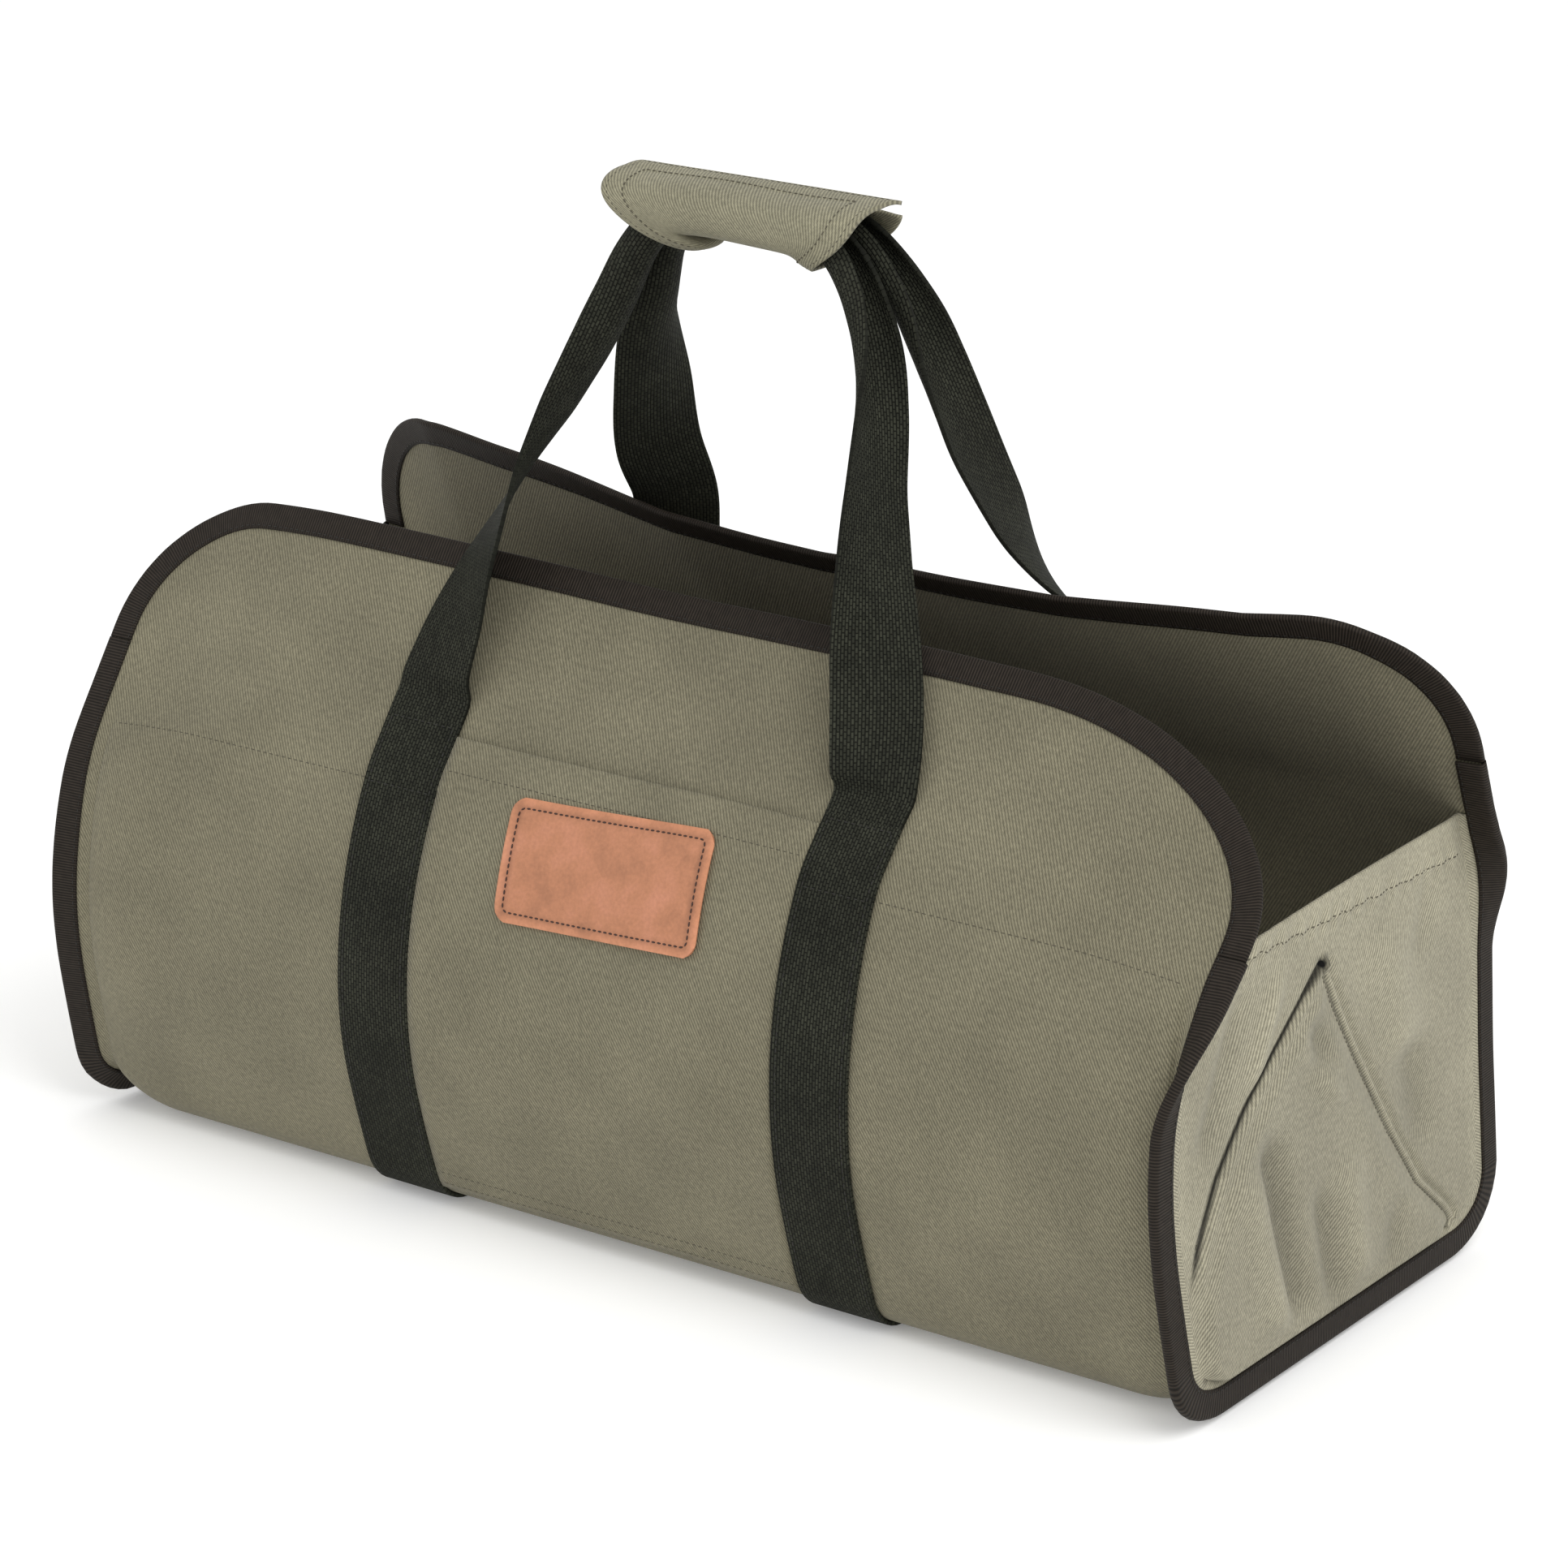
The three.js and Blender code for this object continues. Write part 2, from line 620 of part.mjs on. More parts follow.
function topBinding(side) {
  const foot = (end) => {
    const sheet = side * (straightEnd(end, side) - TAPE_JOIN);
    const tipAlong = end * (HALF_EDGE - TAPE_COVER);
    return { along: end * HALF_EDGE, sheet, tipAlong, tipSheet: sheet };
  };
  const path = [foot(-1), ...across.map((along) => flapPlace(along, side)), foot(1)];
  const ordered = side < 0 ? path : path.reverse();
  return foldedTape(tapeFrames(ordered, 0), CLOTH, false);
}

// Webbing sewn down the front wall, under the bottom and up the back wall

const webLayer = CLOTH / 2 + GAP + WEB / 2;

function sewnWebbing(end) {
  const half = lowerStations.filter((s) => s <= sewnTop);
  const stations = [...half.slice(1).reverse().map((s) => -s), ...half];
  const edges = end > 0 ? [webInner, webOuter] : [-webOuter, -webInner];
  const grid = stations.map((s) => edges.map((along) => layerPoint(along, s, webLayer)));
  return sheetSolid(grid, WEB);
}

// Free handles: one route from the left run to the right run through the grip

// On a flap, x counts the webbing's distance from the bag's centre, up the flap's length from
// the stitched line and off the webbing's width that its middle stands off the flap. In the
// air, y counts the depth of the stitched line and z the climb from that line to the grip.
// turn is the heading of the webbing's width in the ground plane and curl is how far its two
// edges roll together, both in degrees.
const frontRoute = [
  { x: -1.0, up: 0.44, off: 0.1, turn: -8, curl: 0 },
  { x: -0.99, up: 0.68, off: 0.21, turn: -20, curl: 0 },
  { x: -0.96, up: 0.93, off: 0.36, turn: -40, curl: 4 },
  { x: -0.89, y: -0.4, z: 0.5, turn: -64, curl: 14 },
  { x: -0.767, y: -0.29, z: 0.63, turn: -84, curl: 50 },
  { x: -0.67, y: -0.18, z: 0.747, turn: -90, curl: 125 },
  { x: -0.6, y: -0.12, z: 0.839, turn: -90, curl: 215 },
  { x: -0.54, y: -0.095, z: 0.91, turn: -90, curl: 265 },
  { x: -0.48, y: -0.085, z: 0.952, turn: -90, curl: 290 },
  { x: -0.4, y: -0.08, z: 0.985, turn: -90, curl: 300 },
  { x: -0.3, y: -0.08, z: 1.0, turn: -90, curl: 300 },
  { x: -0.07, y: -0.08, z: 1.0, turn: -90, curl: 300 },
  { x: 0.18, y: -0.08, z: 1.0, turn: -90, curl: 300 },
  { x: 0.28, y: -0.08, z: 0.99, turn: -90, curl: 300 },
  { x: 0.36, y: -0.085, z: 0.965, turn: -90, curl: 290 },
  { x: 0.425, y: -0.09, z: 0.925, turn: -90, curl: 265 },
  { x: 0.475, y: -0.1, z: 0.88, turn: -90, curl: 245 },
  { x: 0.54, y: -0.135, z: 0.81, turn: -90, curl: 180 },
  { x: 0.6, y: -0.205, z: 0.715, turn: -90, curl: 90 },
  { x: 0.665, y: -0.315, z: 0.602, turn: -92, curl: 35 },
  { x: 0.74, y: -0.43, z: 0.48, turn: -106, curl: 12 },
  { x: 0.84, up: 0.92, off: 0.4, turn: -128, curl: 4 },
  { x: 0.93, up: 0.68, off: 0.28, turn: -148, curl: 0 },
  { x: 1.0, up: 0.44, off: 0.13, turn: -168, curl: 0 },
];
const backRoute = [
  { x: -0.99, up: 0.44, off: 0.25, turn: -180, curl: 0 },
  { x: -0.95, up: 0.68, off: 0.28, turn: -164, curl: 0 },
  { x: -0.89, up: 0.93, off: 0.4, turn: -148, curl: 4 },
  { x: -0.81, y: 0.42, z: 0.49, turn: -128, curl: 14 },
  { x: -0.733, y: 0.28, z: 0.618, turn: -113, curl: 45 },
  { x: -0.667, y: 0.185, z: 0.739, turn: -101, curl: 120 },
  { x: -0.59, y: 0.125, z: 0.835, turn: -93, curl: 210 },
  { x: -0.54, y: 0.095, z: 0.905, turn: -90, curl: 265 },
  { x: -0.48, y: 0.085, z: 0.952, turn: -90, curl: 290 },
  { x: -0.4, y: 0.08, z: 0.985, turn: -90, curl: 300 },
  { x: -0.3, y: 0.08, z: 1.0, turn: -90, curl: 300 },
  { x: -0.07, y: 0.08, z: 1.0, turn: -90, curl: 300 },
  { x: 0.2, y: 0.08, z: 1.0, turn: -90, curl: 300 },
  { x: 0.3, y: 0.08, z: 0.99, turn: -90, curl: 300 },
  { x: 0.38, y: 0.085, z: 0.967, turn: -90, curl: 290 },
  { x: 0.46, y: 0.09, z: 0.93, turn: -90, curl: 265 },
  { x: 0.54, y: 0.105, z: 0.875, turn: -90, curl: 230 },
  { x: 0.61, y: 0.165, z: 0.775, turn: -90, curl: 120 },
  { x: 0.7, y: 0.27, z: 0.63, turn: -88, curl: 50 },
  { x: 0.8, y: 0.41, z: 0.48, turn: -78, curl: 16 },
  { x: 0.9, up: 0.93, off: 0.42, turn: -56, curl: 6 },
  { x: 0.99, up: 0.68, off: 0.32, turn: -32, curl: 0 },
  { x: 1.01, up: 0.44, off: 0.2, turn: -10, curl: 0 },
];
const ACROSS_FACETS = 5;
const HANDLE_FACETS = 40;
const LEAD = 10; // the webbing leaves its seam straight for this far

function handle(route, side) {
  const sheetEnd = side * sewnTop;
  const layer = webLayer + 2 * GAP;
  const rootAt = (end) => layerPoint(end * WEB_CENTRE, sheetEnd, layer);
  const below = (end) => layerPoint(end * WEB_CENTRE, side * (sewnTop - LEAD), layer);
  const leave = (end) => rootAt(end).sub(below(end)).normalize();
  const stitchLine = sectionPoint(WEB_CENTRE, side * STITCH).point;
  const start = rootAt(-1).addScaledVector(leave(-1), GAP);
  const finish = rootAt(1).addScaledVector(leave(1), GAP);
  const places = [
    start, start.clone().addScaledVector(leave(-1), LEAD),
    ...route.map((row) => (row.up
      ? layerPoint(row.x * WEB_CENTRE, side * (STITCH + row.up * FLAP), webLayer + row.off * WEB_WIDTH)
      : vector(
        row.x * WEB_CENTRE,
        row.y * Math.abs(stitchLine.y),
        mix(stitchLine.z, GRIP_HEIGHT, row.z),
      ))),
    finish.clone().addScaledVector(leave(1), LEAD), finish,
  ];
  const flat = side < 0 ? [0, -180] : [-180, 0];
  const first = { turn: flat[0], curl: 0 };
  const last = { turn: flat[1], curl: 0 };
  const settings = [first, first, ...route, last, last];
  const curve = new THREE.CatmullRomCurve3(places, false, 'centripetal');
  const spans = places.length - 1;
  const grid = [];
  for (let i = 0; i <= HANDLE_FACETS; i += 1) {
    const share = curve.getUtoTmapping(i / HANDLE_FACETS);
    const place = curve.getPoint(share);
    const tangent = curve.getTangent(share);
    const row = Math.min(spans - 1, Math.floor(share * spans));
    const part = share * spans - row;
    const turn = degrees(mix(settings[row].turn, settings[row + 1].turn, part));
    const curl = Math.max(0.02, degrees(mix(settings[row].curl, settings[row + 1].curl, part)));
    const width = vector(Math.cos(turn), Math.sin(turn), 0);
    width.addScaledVector(tangent, -width.dot(tangent)).normalize();
    const face = width.clone().cross(tangent);
    const radius = WEB_WIDTH / curl;
    const sag = radius * (1 - Math.cos(curl / 2)) / 2;
    const points = [];
    for (let j = 0; j <= ACROSS_FACETS; j += 1) {
      const angle = (j / ACROSS_FACETS - 0.5) * curl;
      const point = place.clone().addScaledVector(width, radius * Math.sin(angle));
      point.addScaledVector(face, radius * (1 - Math.cos(angle)) - sag);
      points.push(point);
    }
    grid.push(points);
  }
  return sheetSolid(grid.map((row) => row.reverse()), WEB);
}

// Front pocket between the two webbing runs

const pocketLayer = CLOTH / 2 + GAP + CLOTH / 2;

function pocketStations() {
  const low = BASE_HALF + BEND * bendShares[3];
  return lowerStations.filter((s) => s >= low && s <= STITCH + POCKET_ABOVE);
}

function pocketHeight(along, distance) {
  const middle = 1 - (along / webInner) ** 2;
  const high = clamp01((distance - STITCH) / POCKET_ABOVE);
  return pocketLayer + POCKET_EASE * middle * high;
}

function frontPocket() {
  const edge = webInner - GAP;
  const columns = [-edge, ...across.filter((along) => Math.abs(along) < edge), edge];
  const grid = pocketStations().reverse().map((s) => (
    columns.map((along) => layerPoint(along, -s, pocketHeight(along, s)))));
  return sheetSolid(grid, CLOTH);
}

// Leather patch on the pocket

function leatherPatch() {
  const tilt = degrees(PATCH_TILT);
  const height = pocketLayer + CLOTH / 2 + GAP + PATCH_THICK / 2;
  const half = PATCH_HEIGHT / 2;
  const low = PATCH_RADIUS * 0.3;
  const ups = [
    -half, -half + low, -half + PATCH_RADIUS, -half / 3, half / 3,
    half - PATCH_RADIUS, half - low, half,
  ];
  const shares = [-1, -0.34, 0.34, 1];
  const grid = ups.map((up) => {
    const inCorner = Math.max(0, Math.abs(up) - (half - PATCH_RADIUS));
    const inset = PATCH_RADIUS - Math.sqrt(PATCH_RADIUS ** 2 - inCorner ** 2);
    return shares.map((share) => {
      const over = share * (PATCH_WIDTH / 2 - inset);
      const along = over * Math.cos(tilt) - up * Math.sin(tilt);
      const climb = over * Math.sin(tilt) + up * Math.cos(tilt);
      return layerPoint(along, -(STITCH - PATCH_BELOW + climb), height);
    });
  });
  return sheetSolid(grid.reverse(), PATCH_THICK);
}

// Wrapped grip: a turned canvas sheet rolled round both handles, its upper edge lying over

// around runs from the free upper edge over the top, front and underside to the tucked edge.
// lift is the distance from the middle as a share of the roll's own radius.
const gripWrap = [
  { around: 52, lift: 1.12 },
  { around: 90, lift: 1.03 },
  { around: 180, lift: 1.0 },
  { around: 270, lift: 1.0 },
  { around: 360, lift: 0.99 },
  { around: 390, lift: 0.94 },
];
const GRIP_ROUND = 2.6; // 2 is an ellipse and more is squarer
const GRIP_FACETS = 18;
const GRIP_STATIONS = [-1, -0.82, -0.55, -0.2, 0.2, 0.55, 0.82, 1];
const SHEAR_LEFT = 44; // the grip's underside ends this far short of its top
const SHEAR_RIGHT = 30;

function gripPoint(share, around) {
  const sag = GRIP_DROOP * Math.abs(share) ** 2.4;
  const angle = degrees(around);
  const halfDepth = GRIP_DEPTH / 2;
  const halfRise = (GRIP_RISE + sag) / 2;
  const lift = readTable(gripWrap, 'around', 'lift', around);
  const cosine = Math.cos(angle);
  const sine = Math.sin(angle);
  const radius = lift / ((Math.abs(cosine) ** GRIP_ROUND + Math.abs(sine) ** GRIP_ROUND)
    ** (1 / GRIP_ROUND));
  const low = clamp01((1 - sine * radius) / 2) ** 2;
  const shear = (share < 0 ? SHEAR_LEFT : SHEAR_RIGHT) * low * ease((Math.abs(share) - 0.3) / 0.7);
  return vector(
    GRIP_CENTRE + share * GRIP_LENGTH / 2 - Math.sign(share) * shear,
    halfDepth * cosine * radius,
    GRIP_HEIGHT - sag / 2 + halfRise * sine * radius,
  );
}

function gripWrapSolid() {
  const from = gripWrap[0].around;
  const to = gripWrap[gripWrap.length - 1].around;
  const grid = GRIP_STATIONS.map((share) => {
    const row = [];
    for (let j = 0; j <= GRIP_FACETS; j += 1) {
      row.push(gripPoint(share, mix(from, to, j / GRIP_FACETS)));
    }
    return row.reverse();
  });
  return sheetSolid(grid, GRIP_CLOTH);
}

// Assembly

const carrier = new THREE.Group();

function addPiece(name, geometry, finish) {
  const piece = new THREE.Mesh(geometry, new THREE.MeshStandardMaterial(finish));
  piece.name = name;
  carrier.add(piece);
}

addPiece('main_panel', mainPanel(), finishes.canvas);
addPiece('end_panel_right', endPanelSolid(1), finishes.endCanvas);
addPiece('end_panel_left', endPanelSolid(-1), finishes.endCanvas);
addPiece('end_binding_right', endBinding(1), finishes.tape);
addPiece('end_binding_left', endBinding(-1), finishes.tape);
addPiece('top_binding_front', topBinding(-1), finishes.tape);
addPiece('top_binding_back', topBinding(1), finishes.tape);
addPiece('webbing_right', sewnWebbing(1), finishes.webbing);
addPiece('webbing_left', sewnWebbing(-1), finishes.webbing);
addPiece('handle_front', handle(frontRoute, -1), finishes.webbing);
addPiece('handle_back', handle(backRoute, 1), finishes.webbing);
addPiece('front_pocket', frontPocket(), finishes.canvas);
addPiece('leather_patch', leatherPatch(), finishes.leather);
addPiece('grip_wrap', gripWrapSolid(), finishes.gripCanvas);

// The origin is the middle of the footprint, on the ground
const box = new THREE.Box3().setFromObject(carrier);
const middle = box.getCenter(vector(0, 0, 0));
carrier.position.set(-middle.x, -middle.y, -box.min.z);
carrier.updateMatrixWorld(true);

export default carrier;
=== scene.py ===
"""Canvas log carrier: the look of the bag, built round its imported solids."""
import math

import bmesh
import bpy
import numpy as np
from mathutils import Matrix, Vector


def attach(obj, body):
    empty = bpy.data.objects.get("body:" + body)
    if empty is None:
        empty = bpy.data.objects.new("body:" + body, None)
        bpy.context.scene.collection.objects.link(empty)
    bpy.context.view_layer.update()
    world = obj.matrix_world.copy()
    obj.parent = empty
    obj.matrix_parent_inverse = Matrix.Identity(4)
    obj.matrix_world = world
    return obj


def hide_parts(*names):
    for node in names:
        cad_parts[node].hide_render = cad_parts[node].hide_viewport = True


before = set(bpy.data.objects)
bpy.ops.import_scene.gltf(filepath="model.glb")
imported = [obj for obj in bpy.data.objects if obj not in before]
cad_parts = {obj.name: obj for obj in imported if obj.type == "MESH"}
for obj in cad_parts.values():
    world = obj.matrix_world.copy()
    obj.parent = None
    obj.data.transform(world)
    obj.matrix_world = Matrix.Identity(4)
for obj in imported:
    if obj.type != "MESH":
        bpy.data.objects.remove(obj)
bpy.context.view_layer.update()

bl_info = {
    "name": "Canvas log carrier",
    "version": (1, 0, 0),
    "blender": (4, 5, 0),
    "location": "3D View > Sidebar > Log carrier",
    "description": "Builds a canvas log carrier with webbing handles and a wrapped grip",
    "category": "Add Mesh",
}

# Sizes in millimetres. They say the same as the part's own source, apart from TAPE_COVER.
SHIFT = np.array([4.41, 6.756, 0.0])  # from the middle of the cut to the frame's origin
CLOTH = 1.3
GAP = 0.35
HALF_SEAM = 299.0
FLANGE = 16.0
LEAN_RIGHT = 9.0
LEAN_LEFT = 1.0
LEAN_LEFT_BACK = 11.0
BASE_HALF = 97.0
BEND = 29.0
WALL = 185.0
FLAP = 114.0
CORNER_RADIUS = 68.0
PULLED_RADIUS = 92.0
PULLED_REACH = 150.0
END_RISE = 17.0
PUCKER = 30.0
FLAP_SPREAD = 3.0
GATHER = 0.885
GUSSET_ABOVE = 8.0
PANEL_BULGE = 5.0
TAPE = 0.9
TAPE_COVER = 11.2  # the solids' tape covers 13.5, which is wider than the real one looks
TAPE_STITCH = 0.86  # share of the cover at which a tape is sewn down
TAPE_JOIN = 6.0
WEB = 2.0
WEB_WIDTH = 40.0
WEB_CENTRE = 120.0
SEWN_ABOVE = 33.0
POCKET_ABOVE = 27.0
POCKET_EASE = 1.2
POCKET_HEM = 16.0
PATCH_WIDTH = 110.0
PATCH_HEIGHT = 54.0
PATCH_THICK = 2.0
PATCH_RADIUS = 7.0
PATCH_BORDER = 4.2
PATCH_BELOW = 17.5
PATCH_TILT = math.radians(2.6)
GRIP_LENGTH = 137.0
GRIP_CENTRE = -11.0
GRIP_HEIGHT = 452.0
GRIP_DEPTH = 42.0
GRIP_RISE = 22.0
GRIP_DROOP = 7.0
GRIP_CLOTH = 1.8
GRIP_ROUND = 2.6
SHEAR_LEFT = 44.0
SHEAR_RIGHT = 30.0

HALF_EDGE = HALF_SEAM + FLANGE
STITCH = BASE_HALF + BEND + WALL
GUSSET_TOP = STITCH + GUSSET_ABOVE
SEWN_TOP = STITCH + SEWN_ABOVE
GROOVE = CLOTH + 2 * GAP + TAPE
SHEET_LIFT = WEB + GAP + CLOTH / 2
FLAP_CREASE = 14.0
STACK = CLOTH + GAP  # from the sheet's middle to the end panel's
CORNER = BASE_HALF + BEND / 2
MERGE = 0.05  # points of one piece that lie closer than this become one
WEB_LAYER = CLOTH / 2 + GAP + WEB / 2
POCKET_LAYER = CLOTH + GAP
RIGHT_TURN, LEFT_WALL_TURN, LEFT_BASE_TURN, TURN_LENGTH = 90.0, 12.0, 62.0, 88.0

# Heading of the sheet in degrees: at, frontMid, frontEnd, backMid, backEnd
HEADINGS = np.array([
    (0.0, 0, 0, 0, 0), (1.0, 0, 0, 0, 0), (1.5, 38, 22, 40, 30), (2.0, 72, 78, 76, 92),
    (2.25, 76, 80, 82, 93), (2.42, 86, 87, 88, 90), (2.6, 96, 98, 94, 90),
    (2.8, 107, 104, 103, 91), (3.0, 117, 122, 116, 104),
], dtype=float)

# Inward lean of the flaps in degrees: along, front, back
FLAP_LEANS = np.array([
    (-1.0, 35, 12), (-0.82, 34, 24), (-0.62, 34.5, 29), (-0.3, 38.5, 38), (0.0, 41, 41),
    (0.4, 41, 39), (0.7, 44, 34), (0.88, 43, 28), (1.0, 44, 22),
], dtype=float)

# The two lines of an end panel: share of its height and place across it, from -1 to 1
FOLD = np.array([
    (0.0, -1.15), (0.24, -0.99), (0.36, -0.888), (0.48, -0.775), (0.61, -0.598), (0.69, -0.459),
    (0.817, -0.207), (0.878, -0.082),
])
RIDGE = np.array([
    (0.0, 0.82), (0.16, 0.563), (0.32, 0.411), (0.49, 0.259), (0.69, 0.07), (0.83, -0.056),
    (0.878, -0.082),
])
# Soft wrinkles of an end panel: low and high share of its height, places there, width, height
WRINKLES = (
    (0.02, 0.56, -0.34, -0.47, 0.075, -3.0), (0.02, 0.5, -0.5, -0.62, 0.09, 1.8),
    (0.0, 0.36, -0.1, -0.16, 0.06, -2.2), (0.02, 0.4, 0.06, 0.02, 0.09, 1.6),
    (0.6, 0.8, -0.14, -0.12, 0.09, -2.4), (0.5, 0.76, 0.0, -0.3, 0.07, 1.5),
    (0.55, 0.94, -0.83, -0.62, 0.07, -1.6), (0.66, 0.94, -0.56, -0.36, 0.06, 1.5),
    (0.5, 0.9, 0.5, 0.36, 0.14, 1.8), (0.25, 0.6, 0.62, 0.52, 0.1, -1.4),
    (0.74, 0.97, 0.62, 0.72, 0.07, -1.0), (0.0, 0.2, 0.3, 0.36, 0.07, -1.3),
)

# Handle routes. On a flap: x, up, off, turn, curl. In the air: x, y, z, turn, curl.
ON_FLAP, IN_AIR = 0, 1
FRONT_ROUTE = [
    (ON_FLAP, -1.0, 0.44, 0.1, -8, 0), (ON_FLAP, -0.99, 0.68, 0.21, -20, 0),
    (ON_FLAP, -0.96, 0.93, 0.36, -40, 4), (IN_AIR, -0.89, -0.4, 0.5, -64, 14),
    (IN_AIR, -0.767, -0.29, 0.63, -84, 50), (IN_AIR, -0.67, -0.18, 0.747, -90, 125),
    (IN_AIR, -0.6, -0.12, 0.839, -90, 215), (IN_AIR, -0.54, -0.095, 0.91, -90, 265),
    (IN_AIR, -0.48, -0.085, 0.952, -90, 290), (IN_AIR, -0.4, -0.08, 0.985, -90, 300),
    (IN_AIR, -0.3, -0.08, 1.0, -90, 300), (IN_AIR, -0.07, -0.08, 1.0, -90, 300),
    (IN_AIR, 0.18, -0.08, 1.0, -90, 300), (IN_AIR, 0.28, -0.08, 0.99, -90, 300),
    (IN_AIR, 0.36, -0.085, 0.965, -90, 290), (IN_AIR, 0.425, -0.09, 0.925, -90, 265),
    (IN_AIR, 0.475, -0.1, 0.88, -90, 245), (IN_AIR, 0.54, -0.135, 0.81, -90, 180),
    (IN_AIR, 0.6, -0.205, 0.715, -90, 90), (IN_AIR, 0.665, -0.315, 0.602, -92, 35),
    (IN_AIR, 0.74, -0.43, 0.48, -106, 12), (ON_FLAP, 0.84, 0.92, 0.4, -128, 4),
    (ON_FLAP, 0.93, 0.68, 0.28, -148, 0), (ON_FLAP, 1.0, 0.44, 0.13, -168, 0),
]
BACK_ROUTE = [
    (ON_FLAP, -0.99, 0.44, 0.25, -180, 0), (ON_FLAP, -0.95, 0.68, 0.28, -164, 0),
    (ON_FLAP, -0.89, 0.93, 0.4, -148, 4), (IN_AIR, -0.81, 0.42, 0.49, -128, 14),
    (IN_AIR, -0.733, 0.28, 0.618, -113, 45), (IN_AIR, -0.667, 0.185, 0.739, -101, 120),
    (IN_AIR, -0.59, 0.125, 0.835, -93, 210), (IN_AIR, -0.54, 0.095, 0.905, -90, 265),
    (IN_AIR, -0.48, 0.085, 0.952, -90, 290), (IN_AIR, -0.4, 0.08, 0.985, -90, 300),
    (IN_AIR, -0.3, 0.08, 1.0, -90, 300), (IN_AIR, -0.07, 0.08, 1.0, -90, 300),
    (IN_AIR, 0.2, 0.08, 1.0, -90, 300), (IN_AIR, 0.3, 0.08, 0.99, -90, 300),
    (IN_AIR, 0.38, 0.085, 0.967, -90, 290), (IN_AIR, 0.46, 0.09, 0.93, -90, 265),
    (IN_AIR, 0.54, 0.105, 0.875, -90, 230), (IN_AIR, 0.61, 0.165, 0.775, -90, 120),
    (IN_AIR, 0.7, 0.27, 0.63, -88, 50), (IN_AIR, 0.8, 0.41, 0.48, -78, 16),
    (ON_FLAP, 0.9, 0.93, 0.42, -56, 6), (ON_FLAP, 0.99, 0.68, 0.32, -32, 0),
    (ON_FLAP, 1.01, 0.44, 0.2, -10, 0),
]
LEAD = 10.0
JOIN = 1.0  # the free webbing starts this far inside the sewn run, as one length

# Distance from the grip's middle to its cloth: around in degrees, share of the roll's radius
GRIP_WRAP = np.array([(52, 1.12), (90, 1.03), (180, 1.0), (270, 1.0), (360, 0.99), (390, 0.94)])


# The long sheet


def ease(value):
    value = np.clip(value, 0.0, 1.0)
    return value * value * (3 - 2 * value)


def mix(a, b, share):
    return a + (b - a) * share


def draw_in(along, distance):
    """How far the sheet has drawn in to an end seam, from 0 to 1."""
    loose = ease((distance - STITCH + 2 * GUSSET_ABOVE) / (4 * GUSSET_ABOVE))
    length = PUCKER * mix(1.0, FLAP_SPREAD, loose)
    share = np.clip((np.abs(along) - HALF_SEAM + GROOVE + length) / length, 0, 1)
    return mix(1 - np.sqrt(1 - share * share), ease(share), loose)


def run_count(distance):
    wall = np.minimum(3.0, 2 + (distance - BASE_HALF - BEND) / WALL)
    low = np.where(distance < BASE_HALF + BEND, 1 + (distance - BASE_HALF) / BEND, wall)
    return np.where(distance < BASE_HALF, distance / BASE_HALF, low)


def heading(along, front, distance, drawn):
    count = run_count(distance)
    at = HEADINGS[:, 0]
    turns = [np.interp(count, at, HEADINGS[:, k]) for k in range(1, 5)]
    middle = np.where(front, turns[0], turns[2])
    end = np.where(front, turns[1], turns[3])
    leans = [np.interp(along / HALF_EDGE, FLAP_LEANS[:, 0], FLAP_LEANS[:, k]) for k in (1, 2)]
    leans = np.where(front, leans[0], leans[1])
    wall = mix(middle, end, drawn)
    return np.radians(mix(wall, 90 + leans, ease((distance - STITCH) / FLAP_CREASE)))


def section(along, sheet):
    """Points of the sheet's middle without its end flanges, and their outward normals."""
    steps = 110
    front = sheet < 0
    side = np.where(front, -1.0, 1.0)
    distance = np.abs(sheet)
    drawn = draw_in(along, distance)
    step = distance / steps
    middle = (np.arange(steps) + 0.5) * step[:, None]
    angle = heading(along[:, None], front[:, None], middle, drawn[:, None])
    half = step[:, None] / 2
    on_wall = np.minimum(middle + half, STITCH) - np.maximum(middle - half, BASE_HALF + BEND)
    on_wall = np.clip(on_wall / np.maximum(2 * half, 1e-9), 0, 1)
    kept = mix(1.0, mix(1.0, GATHER, drawn)[:, None], on_wall) * step[:, None]
    out = (np.cos(angle) * kept).sum(axis=1)
    height = SHEET_LIFT + END_RISE * drawn + (np.sin(angle) * kept).sum(axis=1)
    here = heading(along, front, distance, drawn)
    lean = np.where(along > 0, LEAN_RIGHT, np.where(front, LEAN_LEFT, LEAN_LEFT_BACK))
    lean = lean * np.clip((distance - BASE_HALF - BEND) / WALL, 0, 1)
    reach = np.clip(along, -HALF_SEAM, HALF_SEAM) * (1 - lean / HALF_SEAM)
    point = np.stack([reach, side * out, height], axis=1)
    normal = np.stack([np.zeros_like(out), side * np.sin(here), -np.cos(here)], axis=1)
    return point, normal


def flange_turn(along, sheet):
    distance = np.abs(sheet)
    untwist = ease((GUSSET_TOP + GUSSET_ABOVE - distance) / TURN_LENGTH)
    on_base = ease((BASE_HALF + BEND - distance) / BEND)
    left = mix(LEFT_WALL_TURN, LEFT_BASE_TURN, on_base)
    return np.radians(np.where(along > 0, RIGHT_TURN, left) * untwist)


